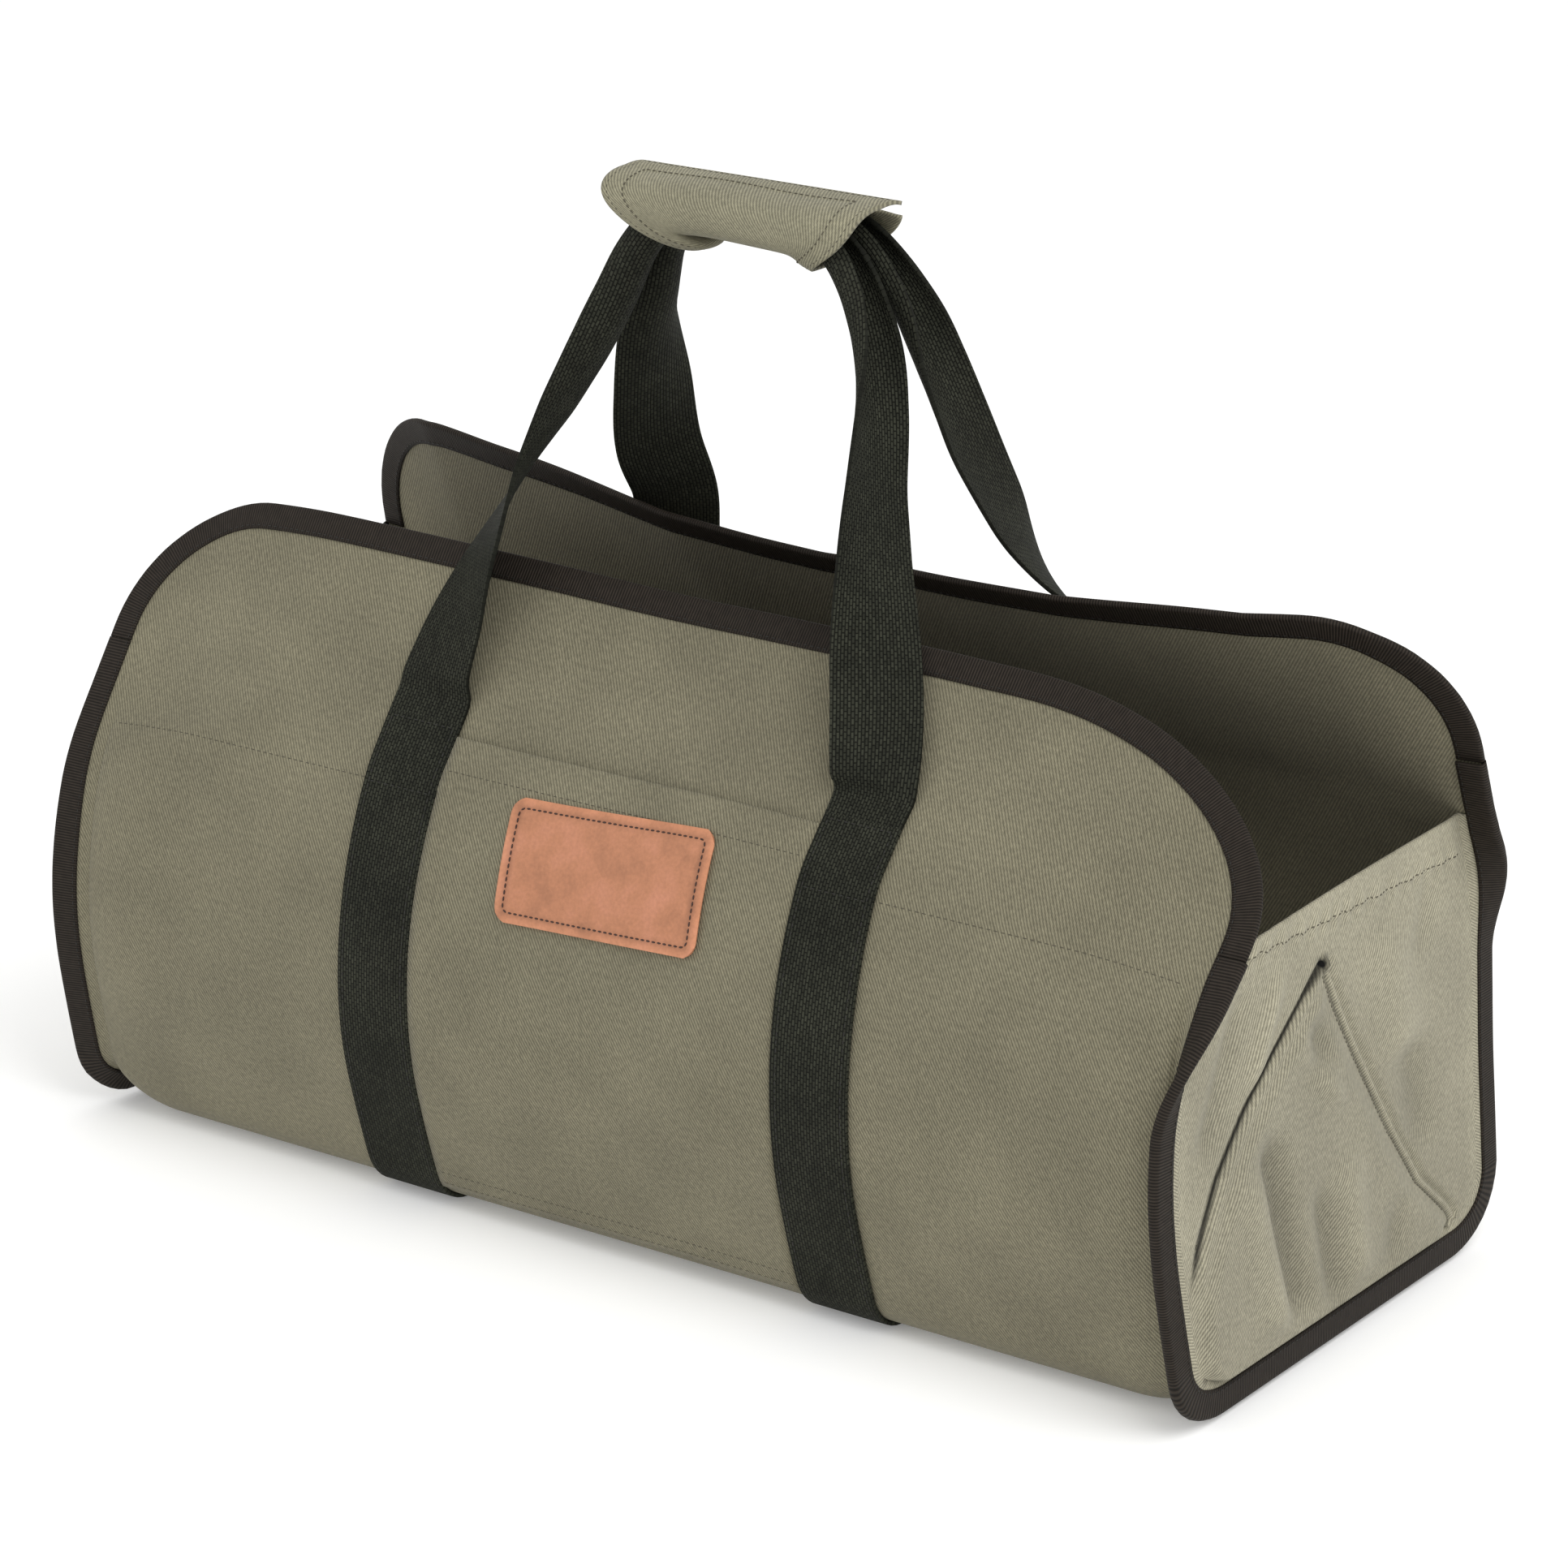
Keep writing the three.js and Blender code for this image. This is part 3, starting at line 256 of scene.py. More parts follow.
def sheet_points(along, sheet):
    """Points of the whole sheet's middle, flanges included. Arrays of one length."""
    along, sheet = np.broadcast_arrays(np.asarray(along, float), np.asarray(sheet, float))
    shape = along.shape
    along, sheet = along.ravel(), sheet.ravel()
    point, normal = section(along, sheet)
    beyond = np.maximum(0, np.abs(along) - HALF_SEAM)
    turn = flange_turn(along, sheet)
    point[:, 0] += np.sign(along) * beyond * np.cos(turn)
    point += normal * (beyond * np.sin(turn))[:, None]
    return point.reshape(shape + (3,))


def unit(v):
    return v / np.maximum(np.linalg.norm(v, axis=-1, keepdims=True), 1e-12)


def ripple(along, sheet):
    """Height in millimetres of the soft waves that the loaded canvas shows."""
    side = np.sign(sheet)
    up = np.clip((np.abs(sheet) - BASE_HALF) / (BEND + WALL), 0, 1.6)
    calm = 1 - ease((np.abs(along) - HALF_SEAM + 60) / 40)
    waves = 0.55 * np.sin(along / 31 + 1.3 * side + 1.1 * np.sin(sheet / 71))
    waves += 0.4 * np.sin(along / 17.3 + 2.1 + sheet / 53) * np.sin(sheet / 39 + along / 90)
    waves += 0.35 * np.sin(along / 67 - 0.8 * side + sheet / 44)
    return waves * ease(up / 0.35) * calm


def sheet_normals(along, sheet):
    """True outward normals, each taken on its own side of the end seams."""
    near = 0.6
    along, sheet = np.broadcast_arrays(np.asarray(along, float), np.asarray(sheet, float))
    end = np.sign(along)
    flange = np.abs(along) > HALF_SEAM
    low = np.where(flange & (end > 0), HALF_SEAM + 0.01, along - near)
    high = np.where(flange & (end < 0), -HALF_SEAM - 0.01, along + near)
    high = np.where(flange & (end > 0), HALF_EDGE, high)
    low = np.where(flange & (end < 0), -HALF_EDGE, low)
    across = sheet_points(high, sheet) - sheet_points(low, sheet)
    climb = sheet_points(along, sheet + near) - sheet_points(along, sheet - near)
    return unit(np.cross(climb, across))


def surface(along, sheet, height=0.0):
    """Points at a height off the sheet's middle, on its waves."""
    lift = np.asarray(height) + ripple(np.asarray(along, float), np.asarray(sheet, float))
    return sheet_points(along, sheet) + sheet_normals(along, sheet) * lift[..., None]


def corner_radius(along, side):
    return np.where((side < 0) & (np.asarray(along) > 0), PULLED_RADIUS, CORNER_RADIUS)


def straight_end(along, side):
    return STITCH + FLAP - corner_radius(along, side)


def corner_reach(along, side):
    return np.where((side < 0) & (np.asarray(along) > 0), PULLED_REACH, CORNER_RADIUS)


def flap_edge(along, side):
    reach = corner_reach(along, side)
    past = np.clip((np.abs(along) - HALF_EDGE + reach) / reach, 0, 1)
    return straight_end(along, side) + corner_radius(along, side) * np.sqrt(1 - past * past)


# Meshes


def to_frame(points):
    return (np.asarray(points) + SHIFT) / 1000


def cloth_grid(bm, points, flat, folds=None):
    """Adds a bmesh grid whose corners move to points (mm), with flat (mm) as its UV map and folds as its
    painted shade: the share of light taken from its colour in folds, grooves and lower parts, with painted
    highlights where that share is negative."""
    rows, columns = points.shape[:2]
    layer = bm.loops.layers.uv.get("cloth") or bm.loops.layers.uv.new("cloth")
    # a float per point holding the painted shade, which the materials read as the fold attribute
    painted_shade_layer = bm.verts.layers.float.get("fold") or bm.verts.layers.float.new("fold")
    made = bmesh.ops.create_grid(bm, x_segments=columns - 1, y_segments=rows - 1, size=1.0)
    places = to_frame(points)
    spots = {}
    for vert in made["verts"]:
        j = round((vert.co.x + 1) / 2 * (columns - 1))
        i = round((vert.co.y + 1) / 2 * (rows - 1))
        vert.co = Vector(places[i, j])
        spots[vert] = flat[i, j] / 1000
        if folds is not None:
            vert[painted_shade_layer] = folds[i, j]
    for face in {face for vert in made["verts"] for face in vert.link_faces}:
        for loop in face.loops:
            loop[layer].uv = spots[loop.vert]
    return made["verts"]


def finish_piece(bm, name, node, material, thickness=None):
    """Makes the piece from its bmesh, gives it its cloth thickness, hangs it on the root body and hides the
    part that it stands for.
    """
    mesh = bpy.data.meshes.new(name)
    bm.to_mesh(mesh)
    bm.free()
    for polygon in mesh.polygons:
        polygon.use_smooth = True
    piece = bpy.data.objects.new(name, mesh)
    bpy.context.scene.collection.objects.link(piece)
    piece.data.materials.append(material)
    if thickness:
        wall = piece.modifiers.new("Cloth wall", "SOLIDIFY")
        wall.thickness = thickness / 1000
        wall.offset = 0.0
        wall.use_rim = True
    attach(piece, "root")
    if node:
        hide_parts(node)
    return piece


def cut_flat(along, sheet):
    along, sheet = np.broadcast_arrays(along, sheet)
    return np.stack([along, sheet], axis=-1)


# Materials


def linear(code):
    """sRGB hex to linear red, green and blue."""
    parts = [int(code[i:i + 2], 16) / 255 for i in (0, 2, 4)]
    return tuple(c / 12.92 if c <= 0.04045 else ((c + 0.055) / 1.055) ** 2.4 for c in parts)


def node(tree, kind, settings=None, links=None):
    """Adds a node, sets its properties, sockets and colour stops, links its inputs and gives
    its outputs."""
    made = tree.nodes.new(kind)
    for name, value in (settings or {}).items():
        if name == "stops":
            elements = made.color_ramp.elements
            while len(elements) < len(value):
                elements.new(0.5)
            for element, (place, colour) in zip(elements, value):
                element.position = place
                element.color = (*colour, 1.0)
        elif isinstance(name, int) or name in made.inputs:
            made.inputs[name].default_value = value
        else:
            setattr(made, name, value)
    for name, source in (links or {}).items():
        tree.links.new(source, made.inputs[name])
    return made.outputs


PLACE = ("ShaderNodeUVMap", {"uv_map": "cloth"})  # a sheet's own flat map, in metres
TIMES = {"data_type": "RGBA", "blend_type": "MULTIPLY", 0: 1.0}  # colours are its sockets 6 and 7


def ribbed(period_mm, direction, wobble=0.0):
    """Settings of a wave pattern of one period in millimetres. A wave of scale 1 repeats every
    0.31416 of a metre."""
    return {
        "wave_type": "BANDS", "bands_direction": direction, "wave_profile": "SIN",
        "Scale": 314.16 / period_mm, "Distortion": wobble, "Detail": 1.0, "Detail Scale": 1.5,
    }


def grained(size_mm, detail, roughness=0.5):
    """Settings of a noise pattern whose largest patches are of a size in millimetres."""
    return {"Scale": 1000 / size_mm, "Detail": detail, "Roughness": roughness}


def shaded(tree, base, source, low, high):
    """A colour, plain or from a socket, made darker and lighter as a pattern goes from one
    value to another. Each of the two is a pair of value and gain."""
    stops = [(value, (gain,) * 3) for value, gain in (low, high)]
    shade = node(tree, "ShaderNodeValToRGB", {"stops": stops}, {"Fac": source})["Color"]
    if isinstance(base, tuple):
        return node(tree, "ShaderNodeMix", {**TIMES, 6: (*base, 1.0)}, {7: shade})[2]
    return node(tree, "ShaderNodeMix", TIMES, {6: base, 7: shade})[2]


def painted_shade_and_highlights(tree, base):
    """Paints shade into a colour: takes from it the share of light held in the piece's fold attribute, and
    paints highlights where that share is negative.
    """
    lost = node(tree, "ShaderNodeAttribute", {"attribute_name": "fold"})["Fac"]
    kept = node(tree, "ShaderNodeMath", {"operation": "SUBTRACT", 0: 1.0}, {1: lost})["Value"]
    return node(tree, "ShaderNodeMix", TIMES, {6: base, 7: kept})[2]


def new_material(name):
    made = bpy.data.materials.new(name)
    made.use_nodes = True
    return made, made.node_tree, made.node_tree.nodes["Principled BSDF"]


def finish_surface(tree, shader, base, relief, strength, distance_mm, roughness, specular):
    """Gives a material its colour, its fine relief and its shine."""
    settings = {"Strength": strength, "Distance": distance_mm / 1000}
    normal = node(tree, "ShaderNodeBump", settings, {"Height": relief})["Normal"]
    tree.links.new(base, shader.inputs["Base Color"])
    tree.links.new(normal, shader.inputs["Normal"])
    shader.inputs["Roughness"].default_value = roughness
    shader.inputs["Specular IOR Level"].default_value = specular


def canvas_material(name, colour):
    """Waxed cotton canvas, woven as a twill: a dull face with fine diagonal ribs, slubs in the
    yarn and a faint bloom of wax that leaves lighter and darker areas. The ribs are drawn at
    1.4 mm, coarser than the real ones, so that they show."""
    made, tree, shader = new_material(name)
    place = node(tree, *PLACE)["UV"]
    turned = node(tree, "ShaderNodeMapping", {"Rotation": (0, 0, math.radians(33))}, {"Vector": place})
    ribs = node(tree, "ShaderNodeTexWave", ribbed(1.4, "X", 0.6), {"Vector": turned["Vector"]})["Fac"]
    yarns = node(tree, "ShaderNodeTexWave", ribbed(0.868, "X", 0.4), {"Vector": place})["Fac"]
    yarns = node(tree, "ShaderNodeMath", {"operation": "MULTIPLY", 1: 0.3}, {0: yarns})["Value"]
    add = {"operation": "MULTIPLY_ADD"}
    weave = node(tree, "ShaderNodeMath", {**add, 1: 0.7}, {0: ribs, 2: yarns})["Value"]
    slub = node(tree, "ShaderNodeTexNoise", grained(2.2, 3.0), {"Vector": place})["Fac"]
    bloom = node(tree, "ShaderNodeTexNoise", grained(55, 4.0, 0.6), {"Vector": place})["Fac"]
    base = shaded(tree, colour, bloom, (0.3, 0.88), (0.7, 1.1))
    base = shaded(tree, base, slub, (0.3, 0.8), (0.7, 1.12))
    base = shaded(tree, base, weave, (0.15, 0.6), (0.85, 1.3))
    # painted shade and highlights from the piece's fold attribute
    base = painted_shade_and_highlights(tree, base)
    relief = node(tree, "ShaderNodeMath", {**add, 1: 0.8}, {0: slub, 2: weave})["Value"]
    finish_surface(tree, shader, base, relief, 0.5, 0.3, 0.86, 0.2)
    shader.inputs["Sheen Weight"].default_value = 0.08
    shader.inputs["Sheen Roughness"].default_value = 0.5
    return made


def webbing_material(name, colour):
    """Heavy cotton webbing: staggered floats about 3 by 1.5 mm that catch the light along
    their tops, with near black gaps between them."""
    made, tree, shader = new_material(name)
    place = node(tree, *PLACE)["UV"]
    turned = node(tree, "ShaderNodeMapping", {"Rotation": (0, 0, math.radians(90))}, {"Vector": place})
    floats = node(tree, "ShaderNodeTexBrick", {
        "offset": 0.5, "Scale": 1000.0, "Mortar Size": 0.42, "Mortar Smooth": 1.0,
        "Brick Width": 3.0, "Row Height": 1.55,
        "Color1": (1.1, 1.1, 1.1, 1), "Color2": (1.9, 1.9, 1.9, 1), "Mortar": (0.1, 0.1, 0.1, 1),
    }, {"Vector": turned["Vector"]})
    fuzz = node(tree, "ShaderNodeTexNoise", grained(2.2, 2.0), {"Vector": place})["Fac"]
    wear = node(tree, "ShaderNodeTexNoise", grained(40, 3.0), {"Vector": place})["Fac"]
    base = shaded(tree, colour, wear, (0.3, 0.82), (0.7, 1.25))
    base = node(tree, "ShaderNodeMix", {**TIMES, 0: 0.9}, {6: base, 7: floats["Color"]})[2]
    base = shaded(tree, base, fuzz, (0.3, 0.85), (0.7, 1.2))
    fuzz = node(tree, "ShaderNodeMath", {"operation": "MULTIPLY", 1: 0.25}, {0: fuzz})["Value"]
    relief = node(tree, "ShaderNodeMath", {"operation": "SUBTRACT"}, {0: fuzz, 1: floats["Fac"]})
    finish_surface(tree, shader, base, relief["Value"], 0.8, 0.5, 0.75, 0.1)
    return made


def tape_material(name, colour):
    """Grosgrain tape, woven with fine ribs across its width: a slight shine on each rib. They
    are drawn at 1.4 mm, coarser than the real ones, so that they show."""
    made, tree, shader = new_material(name)
    place = node(tree, *PLACE)["UV"]
    ribs = node(tree, "ShaderNodeTexWave", ribbed(1.4, "X", 0.15), {"Vector": place})["Fac"]
    fuzz = node(tree, "ShaderNodeTexNoise", grained(4, 3.0), {"Vector": place})["Fac"]
    base = shaded(tree, colour, ribs, (0.1, 0.45), (0.9, 1.55))
    base = shaded(tree, base, fuzz, (0.3, 0.85), (0.7, 1.15))
    finish_surface(tree, shader, base, ribs, 0.6, 0.3, 0.6, 0.1)
    return made


def leather_material(name, colour):
    """Vegetable-tanned cowhide: matt tan with pinkish clouds, fine pores, and a paler cut edge."""
    made, tree, shader = new_material(name)
    place = node(tree, *PLACE)["UV"]
    clouds = node(tree, "ShaderNodeTexNoise", grained(22, 5.0, 0.62), {"Vector": place})["Fac"]
    pores = node(tree, "ShaderNodeTexVoronoi", {"Scale": 1000 / 1.4}, {"Vector": place})["Distance"]
    grain = node(tree, "ShaderNodeTexNoise", grained(1.6, 3.0), {"Vector": place})["Fac"]
    dark, pink = [tuple(np.multiply(colour, gains)) for gains in ((0.74,) * 3, (1.16, 1.16, 1.3))]
    stops = [(0.3, dark), (0.5, colour), (0.7, pink)]
    base = node(tree, "ShaderNodeValToRGB", {"stops": stops}, {"Fac": clouds})["Color"]
    # painted shade in the pressed border and the paler cut edge, from the piece's fold attribute
    base = painted_shade_and_highlights(tree, base)
    base = shaded(tree, base, grain, (0.3, 0.9), (0.7, 1.06))
    add = {"operation": "MULTIPLY_ADD", 1: 0.5}
    relief = node(tree, "ShaderNodeMath", add, {0: pores, 2: grain})["Value"]
    finish_surface(tree, shader, base, relief, 0.25, 0.2, 0.55, 0.35)
    return made


def thread_material(name, colour):
    """Bonded sewing thread: two plies that show as a fine twist, with a faint shine."""
    made, tree, shader = new_material(name)
    place = node(tree, "ShaderNodeTexCoord")["Object"]
    twist = node(tree, "ShaderNodeTexWave", ribbed(0.7, "DIAGONAL"), {"Vector": place})["Fac"]
    tree.links.new(shaded(tree, colour, twist, (0.0, 0.85), (1.0, 1.1)), shader.inputs["Base Color"])
    shader.inputs["Roughness"].default_value = 0.6
    return made


def paper_material(name, colour):
    """Matt white paper that gives a little light of its own, so that the floor shows white."""
    made, tree, shader = new_material(name)
    shader.inputs["Base Color"].default_value = (*colour, 1.0)
    shader.inputs["Roughness"].default_value = 0.9
    shader.inputs["Specular IOR Level"].default_value = 0.2
    shader.inputs["Emission Color"].default_value = (1.0, 1.0, 1.0, 1.0)
    shader.inputs["Emission Strength"].default_value = 0.16
    return made


FINISHES = {
    "canvas": (canvas_material, "waxed_canvas_twill"),
    # painted light: the walls' canvas in a lighter colour, for the light that falls on the end panels
    "end_canvas": (canvas_material, "waxed_canvas_twill_end"),
    "grip_canvas": (canvas_material, "turned_canvas_grip"),
    "webbing": (webbing_material, "woven_cotton_webbing"),
    "tape": (tape_material, "grosgrain_tape"),
    "leather": (leather_material, "tanned_cowhide"),
    "canvas_thread": (thread_material, "canvas_thread"),
    "dark_thread": (thread_material, "dark_thread"),
    "brown_thread": (thread_material, "brown_thread"),
    "floor": (paper_material, "matt_white_paper"),
}
MADE = {}


def material(key):
    """The finish for a key, made once from its colour in the panel."""
    if key not in MADE:
        maker, name = FINISHES[key]
        MADE[key] = maker(name, tuple(getattr(bpy.context.scene.log_carrier_look, key)))
    return MADE[key]


# Stitching


def along_path(at, total, values):
    """Values of a path at the distances along it, where total holds the known ones."""
    return np.stack([np.interp(at, total, values[:, k]) for k in range(3)], axis=1)


def stitch_row(bm, points, normals, pitch=3.6, width=0.55, share=0.68):
    """Adds one run of stitches along a path of points (mm), each stitch a small rounded bar."""
    points = np.asarray(points)
    lengths = np.linalg.norm(np.diff(points, axis=0), axis=1)
    total = np.concatenate([[0], np.cumsum(lengths)])
    count = max(1, int(total[-1] / pitch))
    middles = (np.arange(count) + 0.5) * total[-1] / count
    place, out = along_path(middles, total, points), unit(along_path(middles, total, normals))
    forward = unit(along_path(middles + 0.6, total, points) - along_path(middles - 0.6, total, points))
    across = unit(np.cross(out, forward))
    places = to_frame(place)
    half = total[-1] / count * share / 2 / 1000
    for start in range(0, count, 16):
        few = bmesh.new()
        for k in range(start, min(count, start + 16)):
            axes = (forward[k] * half, across[k] * width / 2000, out[k] * width / 2400)
            turn = Matrix([list(axis) for axis in axes]).transposed().to_4x4()
            turn.translation = Vector(places[k])
            bmesh.ops.create_uvsphere(few, u_segments=6, v_segments=4, radius=1.0, matrix=turn)
        mesh = bpy.data.meshes.new("few_stitches")
        few.to_mesh(mesh)
        few.free()
        bm.from_mesh(mesh)
        bpy.data.meshes.remove(mesh)


def stitched_piece(name, rows, thread):
    bm = bmesh.new()
    for row in rows:
        stitch_row(bm, *row)
    finish_piece(bm, name, None, material(thread))


def surface_row(along, sheet, height, pitch=3.6, width=0.55, share=0.68):
    """A stitch path on the sheet's own surface."""
    along, sheet = np.broadcast_arrays(np.asarray(along, float), np.asarray(sheet, float))
    return surface(along, sheet, height), sheet_normals(along, sheet), pitch, width, share


# Pieces


def spaced(*stops):
    """Stations between the stops, given as pairs of place and spacing up to the next stop."""
    runs = []
    for (low, spacing), high in zip(stops, [stop[0] for stop in stops[1:]]):
        runs.append(np.linspace(low, high, max(1, round((high - low) / spacing)) + 1)[:-1])
    return np.concatenate([*runs, [stops[-1][0]]])


def end_stations():
    start = HALF_SEAM - GROOVE
    half = spaced(
        (0, 5.5), (HALF_EDGE - PULLED_REACH, 4.5), (start - PUCKER, 2.5), (start - 6, 1.0), (start, 0.95),
        (HALF_SEAM, 4.0), (HALF_EDGE, 0),
    )
    return np.concatenate([-half[:0:-1], half])


def flap_rows(along, side):
    """Distances up the flap for each column, from the sewn end of the webbing to the edge."""
    shares = np.linspace(0, 1, 21)[1:]
    edge = flap_edge(along, side)
    return SEWN_TOP + (edge - SEWN_TOP) * shares[:, None]


class CARRIER_OT_panel(bpy.types.Operator):
    """Build the long canvas sheet: both flaps, both walls and the bottom"""

    bl_idname = "log_carrier.panel"
    bl_label = "Canvas sheet"

    def execute(self, context):
        along = end_stations()
        lower = spaced((0, 8), (BASE_HALF - 12, 3.5), (BASE_HALF + BEND, 5), (STITCH - 5, 2.5), (SEWN_TOP, 0))
        front = -np.concatenate([np.repeat(lower[1:, None], len(along), 1), flap_rows(along, -1)])
        back = np.concatenate([np.repeat(lower[:, None], len(along), 1), flap_rows(along, 1)])
        sheet = np.concatenate([front[::-1], back])
        across = np.repeat(along[None, :], len(sheet), 0)
        points = surface(across, sheet)
        bm = bmesh.new()
        cloth_grid(bm, points, cut_flat(across, sheet))
        piece = finish_piece(bm, "canvas_sheet", "main_panel", material("canvas"), CLOTH)
        return {"FINISHED"}


def seam_path(end, stations, beyond=0.0, height=-STACK):
    along = end * (HALF_SEAM + max(beyond, 0.01))
    return surface(np.full(len(stations), along), stations, height)


def hem_height(place):
    """Share of an end panel's height at its hem stitching."""
    return 0.962 - 0.02 * place


def end_lines(height):
    """Places of an end panel's fold and of its ridge at a share of its height."""
    return np.interp(height, FOLD[:, 0], FOLD[:, 1]), np.interp(height, RIDGE[:, 0], RIDGE[:, 1])


def end_coons(end, over):
    """Middle points of an end panel at shares across it, a row for each height."""
    rows = len(over)
    side = np.linspace(CORNER, GUSSET_TOP, rows)
    front, back = seam_path(end, -side), seam_path(end, side)
    stations = np.linspace(0, 1, 600)
    base = seam_path(end, (2 * stations - 1) * CORNER)
    low = np.stack([np.interp(over, stations, base[:, k]) for k in range(3)], axis=-1)
    over = over[..., None]
    up = np.linspace(0, 1, rows)[:, None, None]
    top = mix(front[-1], back[-1], over)
    top[..., 2] += 1.5 * np.sin(np.pi * over[..., 0])
    points = front[:, None] * (1 - over) + back[:, None] * over + low * (1 - up) + top * up
    points = points - base[0] * (1 - over) * (1 - up) - base[-1] * over * (1 - up)
    points = points - front[-1] * (1 - over) * up - back[-1] * over * up
    height = (points[..., 2] - base[0, 2]) / (front[-1, 2] - base[0, 2])
    middle = (front[:, 1] + back[:, 1]) / 2
    place = (points[..., 1] - middle[:, None]) / ((back[:, 1] - front[:, 1]) / 2)[:, None]
    return points, height, place


def end_patch(end, rows=150, columns=210):
    """Middle points of an end panel inside its seams, its up and across shares, and the shares
    across at its foot. The columns lie close together along the fold and along the ridge."""
    even = np.linspace(0, 1, columns)
    height, place = end_coons(end, np.repeat(even[None], rows, 0))[1:]
    fold, ridge = end_lines(height)
    left = np.array([np.interp(0.0, row, even) for row in place - fold])
    right = np.array([np.interp(0.0, row, even) for row in place - ridge])
    apart = np.maximum(0.06 - (right - left), 0) / 2
    left, right = np.clip(left - apart, 0.04, 0.9)[:, None], np.clip(right + apart, 0.1, 0.93)[:, None]
    at_fold, at_ridge = 0.34, 0.66
    before = np.clip((at_fold - even) / at_fold, 0, 1) ** 1.3
    between = np.clip((even - at_fold) / (at_ridge - at_fold), 0, 1)
    between = between - 0.6 * np.sin(2 * np.pi * between) / (2 * np.pi)
    after = np.clip((even - at_ridge) / (1 - at_ridge), 0, 1) ** 1.3
    over = np.where(even < at_fold, left * (1 - before), left + (right - left) * between)
    over = np.where(even > at_ridge, right + (1 - right) * after, over)
    return (*end_coons(end, over), over[0])


def end_relief(height, place, half_width=112.0):
    """How far an end panel stands out in millimetres, with its fold, seam and wrinkles, and its painted
    shade: the share of light taken from its colour, with painted highlights where that share is negative."""
    fold, ridge = end_lines(height)
    below = ease((FOLD[-1, 0] + 0.012 - height) / 0.024)
    bulge = ease((place - fold) / 0.16) * ease((ridge - place) / 0.16)
    relief = PANEL_BULGE * bulge * below
    past = (place - fold) * half_width
    opening = 1.2 + 2.6 * ease((height - 0.8) / 0.05)
    line = np.exp(-((past - 1.1) / opening) ** 2) * below
    relief += 1.7 * np.exp(-((past - 5.0) / 3.5) ** 2) * below
    relief += (0.3 * np.exp(-((past + 6) / 4.0) ** 2) - 0.9 * np.exp(-((past + 0.5) / 2.0) ** 2)) * below
    across = (place - ridge) * half_width
    relief += 2.2 * np.exp(-(across / 1.7) ** 2) * below
    relief -= 1.6 * np.exp(-((across - 4.6) / 3.0) ** 2) * below
    folds = np.zeros_like(height)
    for low, high, start, stop, width, lift in WRINKLES:
        middle = start + (stop - start) * (height - low) / (high - low)
        reach = ease((height - low) / 0.09 + 0.3) * ease((high - height) / 0.12)
        folds += 2.2 * lift * np.exp(-((place - middle) / width) ** 2) * reach
    relief += folds
    # painted shade: darker towards the bottom and inside the bulge, darker in the wrinkles' valleys and
    # lighter on their crests
    dark = 0.1 * ease((0.96 - height) / 0.3) + 0.06 * bulge * below - 0.034 * folds
    # painted highlight along the left edge of the fold
    dark -= 0.1 * np.exp(-((past + 3.0) / 1.6) ** 2) * below
    # painted shadow in the fold's opening, and painted shade on the left slope of the ridge
    dark += 0.88 * line + 0.45 * np.exp(-((across + 2.2) / 0.9) ** 2) * below
    # painted highlight along the top of the ridge
    dark -= 0.12 * np.exp(-(across / 1.2) ** 2) * below
    # the turned hem is a step thicker, and its stitches pull small dimples into it
    hem = hem_height(place) - height
    relief += 0.8 * ease((0.012 - hem) / 0.012)
    dimples = np.sin(place * 62 + 2 * np.sin(place * 9)) * np.exp(-(hem / 0.03) ** 2)
    relief += 0.6 * dimples
    # painted shade and highlights on the hem's dimples, and the hem's step painted lighter
    dark -= 0.05 * dimples + 0.06 * ease((0.012 - hem) / 0.012)
    edge = ease((1 - np.abs(place)) / 0.1)
    return relief * edge, dark * edge


class CARRIER_OT_ends(bpy.types.Operator):
    """Build the two creased end panels with their seam allowances"""

    bl_idname = "log_carrier.ends"
    bl_label = "End panels"

    def execute(self, context):
        for name, end in (("right", 1), ("left", -1)):
            points, height, place, foot = end_patch(end)
            relief, dark = end_relief(height, place)
            points[..., 0] += end * relief
            bm = bmesh.new()
            flat = np.stack([points[..., 1] * end, points[..., 2]], axis=-1)
            cloth_grid(bm, points, flat, dark)
            side = np.linspace(CORNER, GUSSET_TOP, len(height))
            around = np.concatenate([-side[::-1], (2 * foot[1:-1] - 1) * CORNER, side])
            beyond = np.array([0, 0.5, 1.0]) * FLANGE
            band = np.stack([seam_path(end, around, b) for b in beyond])
            cloth_grid(bm, band, cut_flat(around[None, :], -beyond[:, None]))
            bmesh.ops.remove_doubles(bm, verts=bm.verts[:], dist=MERGE / 1000)
            bmesh.ops.recalc_face_normals(bm, faces=bm.faces[:])
            piece = finish_piece(
                bm, f"end_canvas_{name}", f"end_panel_{name}", material("end_canvas"), CLOTH,
            )
        return {"FINISHED"}


